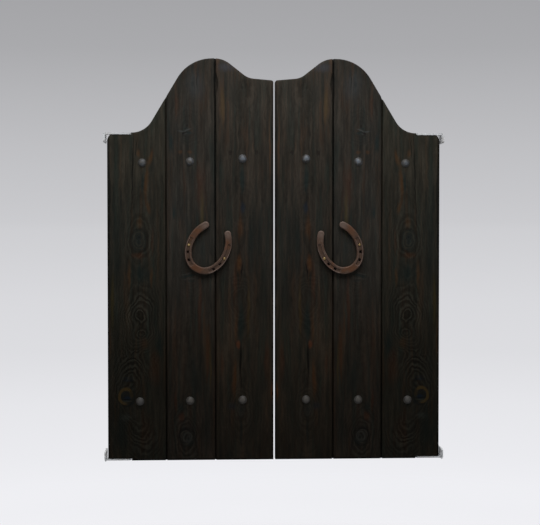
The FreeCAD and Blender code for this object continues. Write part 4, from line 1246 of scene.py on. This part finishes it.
@dataclass
class Horseshoe:
    """The forged horseshoe of a leaf and its two brass nails."""

    side: Side
    grain: float = 0.0007
    hammer_size: float = 0.01
    hammer_depth: float = 0.0004
    head_radius: float = 0.0036
    head_height: float = 0.0024
    shank_radius: float = 0.0015
    bed: float = -0.0205
    tip: float = 0.008
    softening: int = 17
    nails: tuple[Spot, ...] = ((0.20158, 0.53735), (0.28969, 0.5029))

    def shoe(self) -> Piece:
        """Round the CAD shoe's edges as worn forging has them, and hammer its faces.

        Returns:
            The piece.
        """
        rough = bpy.data.objects.new("shoe_blank", self.side.node("horseshoe").data.copy())
        bpy.context.scene.collection.objects.link(rough)
        remesh = rough.modifiers.new("even", "REMESH")
        remesh.mode, remesh.voxel_size = "VOXEL", self.grain * 1.0
        soften = rough.modifiers.new("soften", "SMOOTH")
        soften.factor, soften.iterations = 0.5, self.softening
        shaped = bpy.data.meshes.new_from_object(rough.evaluated_get(bpy.context.evaluated_depsgraph_get()))
        form = bmesh.new()
        form.from_mesh(shaped)
        bpy.data.objects.remove(rough)
        bpy.data.meshes.remove(shaped)
        roughen(form, self.hammer_size, self.hammer_depth, 2.7)
        roughen(form, 0.0025, 0.00012, 5.3)
        for vert in form.verts:
            vert.co.y = min(vert.co.y, LEAF_FRONT)
        piece = add_piece(f"{self.side.value}_forged_horseshoe", form, MATERIALS["rusty_iron"])
        return self.side.own(piece, "horseshoe", "rusty_iron")

    def nail(self, run: float, rise: float, number: int) -> Form:
        """One nail with a low domed head in the groove.

        Args:
            run: distance from the hinge edge.
            rise: height above the foot.
            number: which nail.

        Returns:
            The closed form.
        """
        top = self.bed - self.head_height
        profile = [(top, 0.0)]
        profile += [(self.bed - self.head_height * math.cos(angle), self.head_radius * math.sin(angle))
                    for angle in (math.radians(step) for step in (15, 30, 45, 60, 75, 90))]
        profile += [(self.bed, self.shank_radius), (self.tip - 0.004, self.shank_radius), (self.tip, 0.0)]
        form = lathe(profile, (self.side.x(run), 0.0, LEAF_FOOT + rise), (0, 1, 0), 20)
        roughen(form, 0.002, 0.00012, 1.9 * number, self.bed)
        return form

    def build(self) -> list[Piece]:
        """Build the shoe and its nails.

        Returns:
            Both pieces.
        """
        nails = joined([self.nail(*place, number) for number, place in enumerate(self.nails, start=1)])
        piece = add_piece(f"{self.side.value}_brass_nails", nails, MATERIALS["nail_brass"])
        return [self.shoe(), self.side.own(piece, "horseshoe_nails", "nail_brass")]


@dataclass
class Pivots:
    """The spring pivot, top pivot and jamb brackets of a leaf, which keep their CAD shape."""

    side: Side
    finishes: dict[str, str] = field(default_factory=lambda: {
        "spring_barrel": "zinc_steel", "flange_screws": "zinc_steel", "torsion_spring": "spring_steel",
        "bottom_spindle": "spring_steel", "top_pin": "spring_steel", "thrust_washer": "bearing_bronze",
        "top_bush": "bearing_bronze", "lower_jamb_bracket": "bracket_paint",
        "upper_jamb_bracket": "bracket_paint"})

    def build(self) -> list[Piece]:
        """Dress every piece."""
        return [dress(self.side.node(name), MATERIALS[finish]) for name, finish in self.finishes.items()]


# ---- studio

@dataclass
class Studio:
    """Plain pale floor, a pale fading background, soft light from above, and the camera.

    The camera's turns are its yaw, pitch and roll in degrees. A fade gives screen levels of 0 to 255 at
    places from 0 to 1.
    """

    floor_level: float = -0.45
    floor_radius: float = 1500.0
    centre: float = 0.42225
    ambient: float = 0.2
    camera_place: Point = (0.2395, -3.5, 0.579)
    camera_turn: Point = (2.823, 1.669, 0.021)
    lens: float = 93.38
    sight: float = 4000.0
    fade_reach: float = 4.5
    fade_start: float = 3.5
    floor_fade: tuple[tuple[float, int], ...] = (
        (0.0, 203), (0.026, 206), (0.088, 209), (0.245, 217), (0.4, 221), (0.557, 230), (0.713, 235),
        (0.869, 242), (0.932, 247))
    sky_fade: tuple[tuple[float, int], ...] = (
        (0.0, 207), (0.06, 203), (0.14, 199), (0.32, 191), (0.5, 181), (0.67, 170), (0.86, 164))

    def pale(self, level: int) -> Colour:
        """A cool near-white from a screen level of 0 to 255."""
        value = ((level / 255 + 0.055) / 1.055) ** 2.4
        return (value * 0.995, value * 0.997, value * 1.035)

    def seen(self, recipe: Recipe) -> Socket:
        """1 on rays from the camera, or by way of gloss or glass.

        Args:
            recipe: the recipe that asks.

        Returns:
            The share of the ray that is seen.
        """
        path = recipe.add("ShaderNodeLightPath")
        seen = recipe.math("MAXIMUM", path.outputs["Is Camera Ray"], path.outputs["Is Glossy Ray"])
        return recipe.math("MAXIMUM", seen, path.outputs["Is Transmission Ray"])

    def floor(self) -> Piece:
        """A round pale floor that fades into the background and keeps the doors' shadow.

        Returns:
            The piece.
        """
        form = lathe([(0.0, 0.0), (0.0, 2.0), (0.0, 12.0), (0.0, 120.0), (0.0, self.floor_radius)],
                     (self.centre, 0, self.floor_level), (0, 0, 1), 96)
        recipe = Recipe(bpy.data.materials.new("pale_floor"))
        at = recipe.position()
        flat = recipe.vector("MULTIPLY", recipe.vector("SUBTRACT", at, (self.centre, 0, 0)), (1, 1, 0))
        far = recipe.length(flat)
        near = recipe.math("DIVIDE", self.fade_reach, recipe.math("ADD", far, self.fade_start))
        fade = recipe.ramp(near, [(spot, self.pale(level)) for spot, level in self.floor_fade])
        plain = recipe.add("ShaderNodeBsdfDiffuse", {"Color": (0.64, 0.64, 0.65)})
        glow = recipe.add("ShaderNodeEmission", {"Color": fade, "Strength": 1.0})
        share = recipe.scaled(recipe.smooth(far, 0.4, 2.2), 0.34, 0.66)
        both = recipe.add("ShaderNodeMixShader", {0: recipe.times(self.seen(recipe), share),
                                                  1: plain.outputs[0], 2: glow.outputs[0]})
        recipe.close("ShaderNodeOutputMaterial", both)
        floor = add_piece("floor", form, recipe.owner)
        return floor

    def world(self) -> None:
        """Even pale light all round, and a background that fades upwards."""
        world = bpy.data.worlds.new("studio")
        bpy.context.scene.world = world
        recipe = Recipe(world)
        up = recipe.part(recipe.add("ShaderNodeTexCoord").outputs["Generated"], 2)
        height = recipe.scaled(up, 5.0, 0.06)
        fade = recipe.ramp(height, [(spot, self.pale(level)) for spot, level in self.sky_fade])
        backdrop = recipe.add("ShaderNodeBackground", {"Color": fade, "Strength": 1.0})
        light = recipe.add("ShaderNodeBackground", {"Color": (1.0, 1.0, 1.0), "Strength": self.ambient})
        recipe.close("ShaderNodeOutputWorld", recipe.add(
            "ShaderNodeMixShader", {0: self.seen(recipe), 1: light.outputs[0], 2: backdrop.outputs[0]}))

    def lamp(self, name: str, at: Point, aim: Point, size: Spot, power: float) -> None:
        """A wide soft lamp aimed at a point.

        Args:
            name: its name.
            at: where it is.
            aim: the point.
            size: its width and height.
            power: its power in watts.
        """
        data = bpy.data.lights.new(name, "AREA")
        data.shape, data.energy = "RECTANGLE", power
        data.size, data.size_y = size
        lamp = bpy.data.objects.new(name, data)
        lamp.location = at
        lamp.rotation_euler = (Vector(aim) - Vector(at)).to_track_quat("-Z", "Y").to_euler()
        bpy.context.scene.collection.objects.link(lamp)

    def camera(self) -> None:
        """A long lens, a little left of the doors' middle, aimed almost straight at them."""
        data = bpy.data.cameras.new("camera")
        data.lens, data.sensor_width = self.lens, 36.0
        data.clip_end = self.sight
        camera = bpy.data.objects.new("camera", data)
        camera.location = self.camera_place
        yaw, pitch, roll = (math.radians(angle) for angle in self.camera_turn)
        camera.rotation_euler = (Matrix.Rotation(-yaw, 3, "Z") @ Matrix.Rotation(math.pi / 2 - pitch, 3, "X")
                                 @ Matrix.Rotation(-roll, 3, "Z")).to_euler()
        bpy.context.scene.collection.objects.link(camera)
        bpy.context.scene.camera = camera

    def build(self) -> list[Piece]:
        """Set up everything that isn't part of the doors.

        Returns:
            The floor, which is the only piece.
        """
        self.world()
        self.lamp("key", (self.centre, -0.8, 2.0), (self.centre, 0, 0.6), (1.5, 0.7), 40.0)
        self.lamp("rear", (self.centre, 1.6, 2.2), (self.centre, 0, 0.45), (1.6, 1.2), 46.0)
        self.camera()
        bpy.context.scene.view_settings.view_transform = "Standard"
        return [self.floor()]


def main() -> None:
    """Build the pair of doors and the studio, and report each piece."""
    logging.basicConfig(level=logging.INFO, format="%(name)s: %(message)s")
    MATERIALS.update({finish.name: finish.material() for finish in METALS})
    assemblies: list = [Studio()]
    for side in Side:
        assemblies += [Planks(side), Battens(side), Bolts(side), Horseshoe(side), Pivots(side)]
    for assembly in assemblies:
        for piece in assembly.build():
            log.info("%s: %s, %d faces", type(assembly).__name__, piece.name, len(piece.data.polygons))


if __name__ == "__main__":
    main()
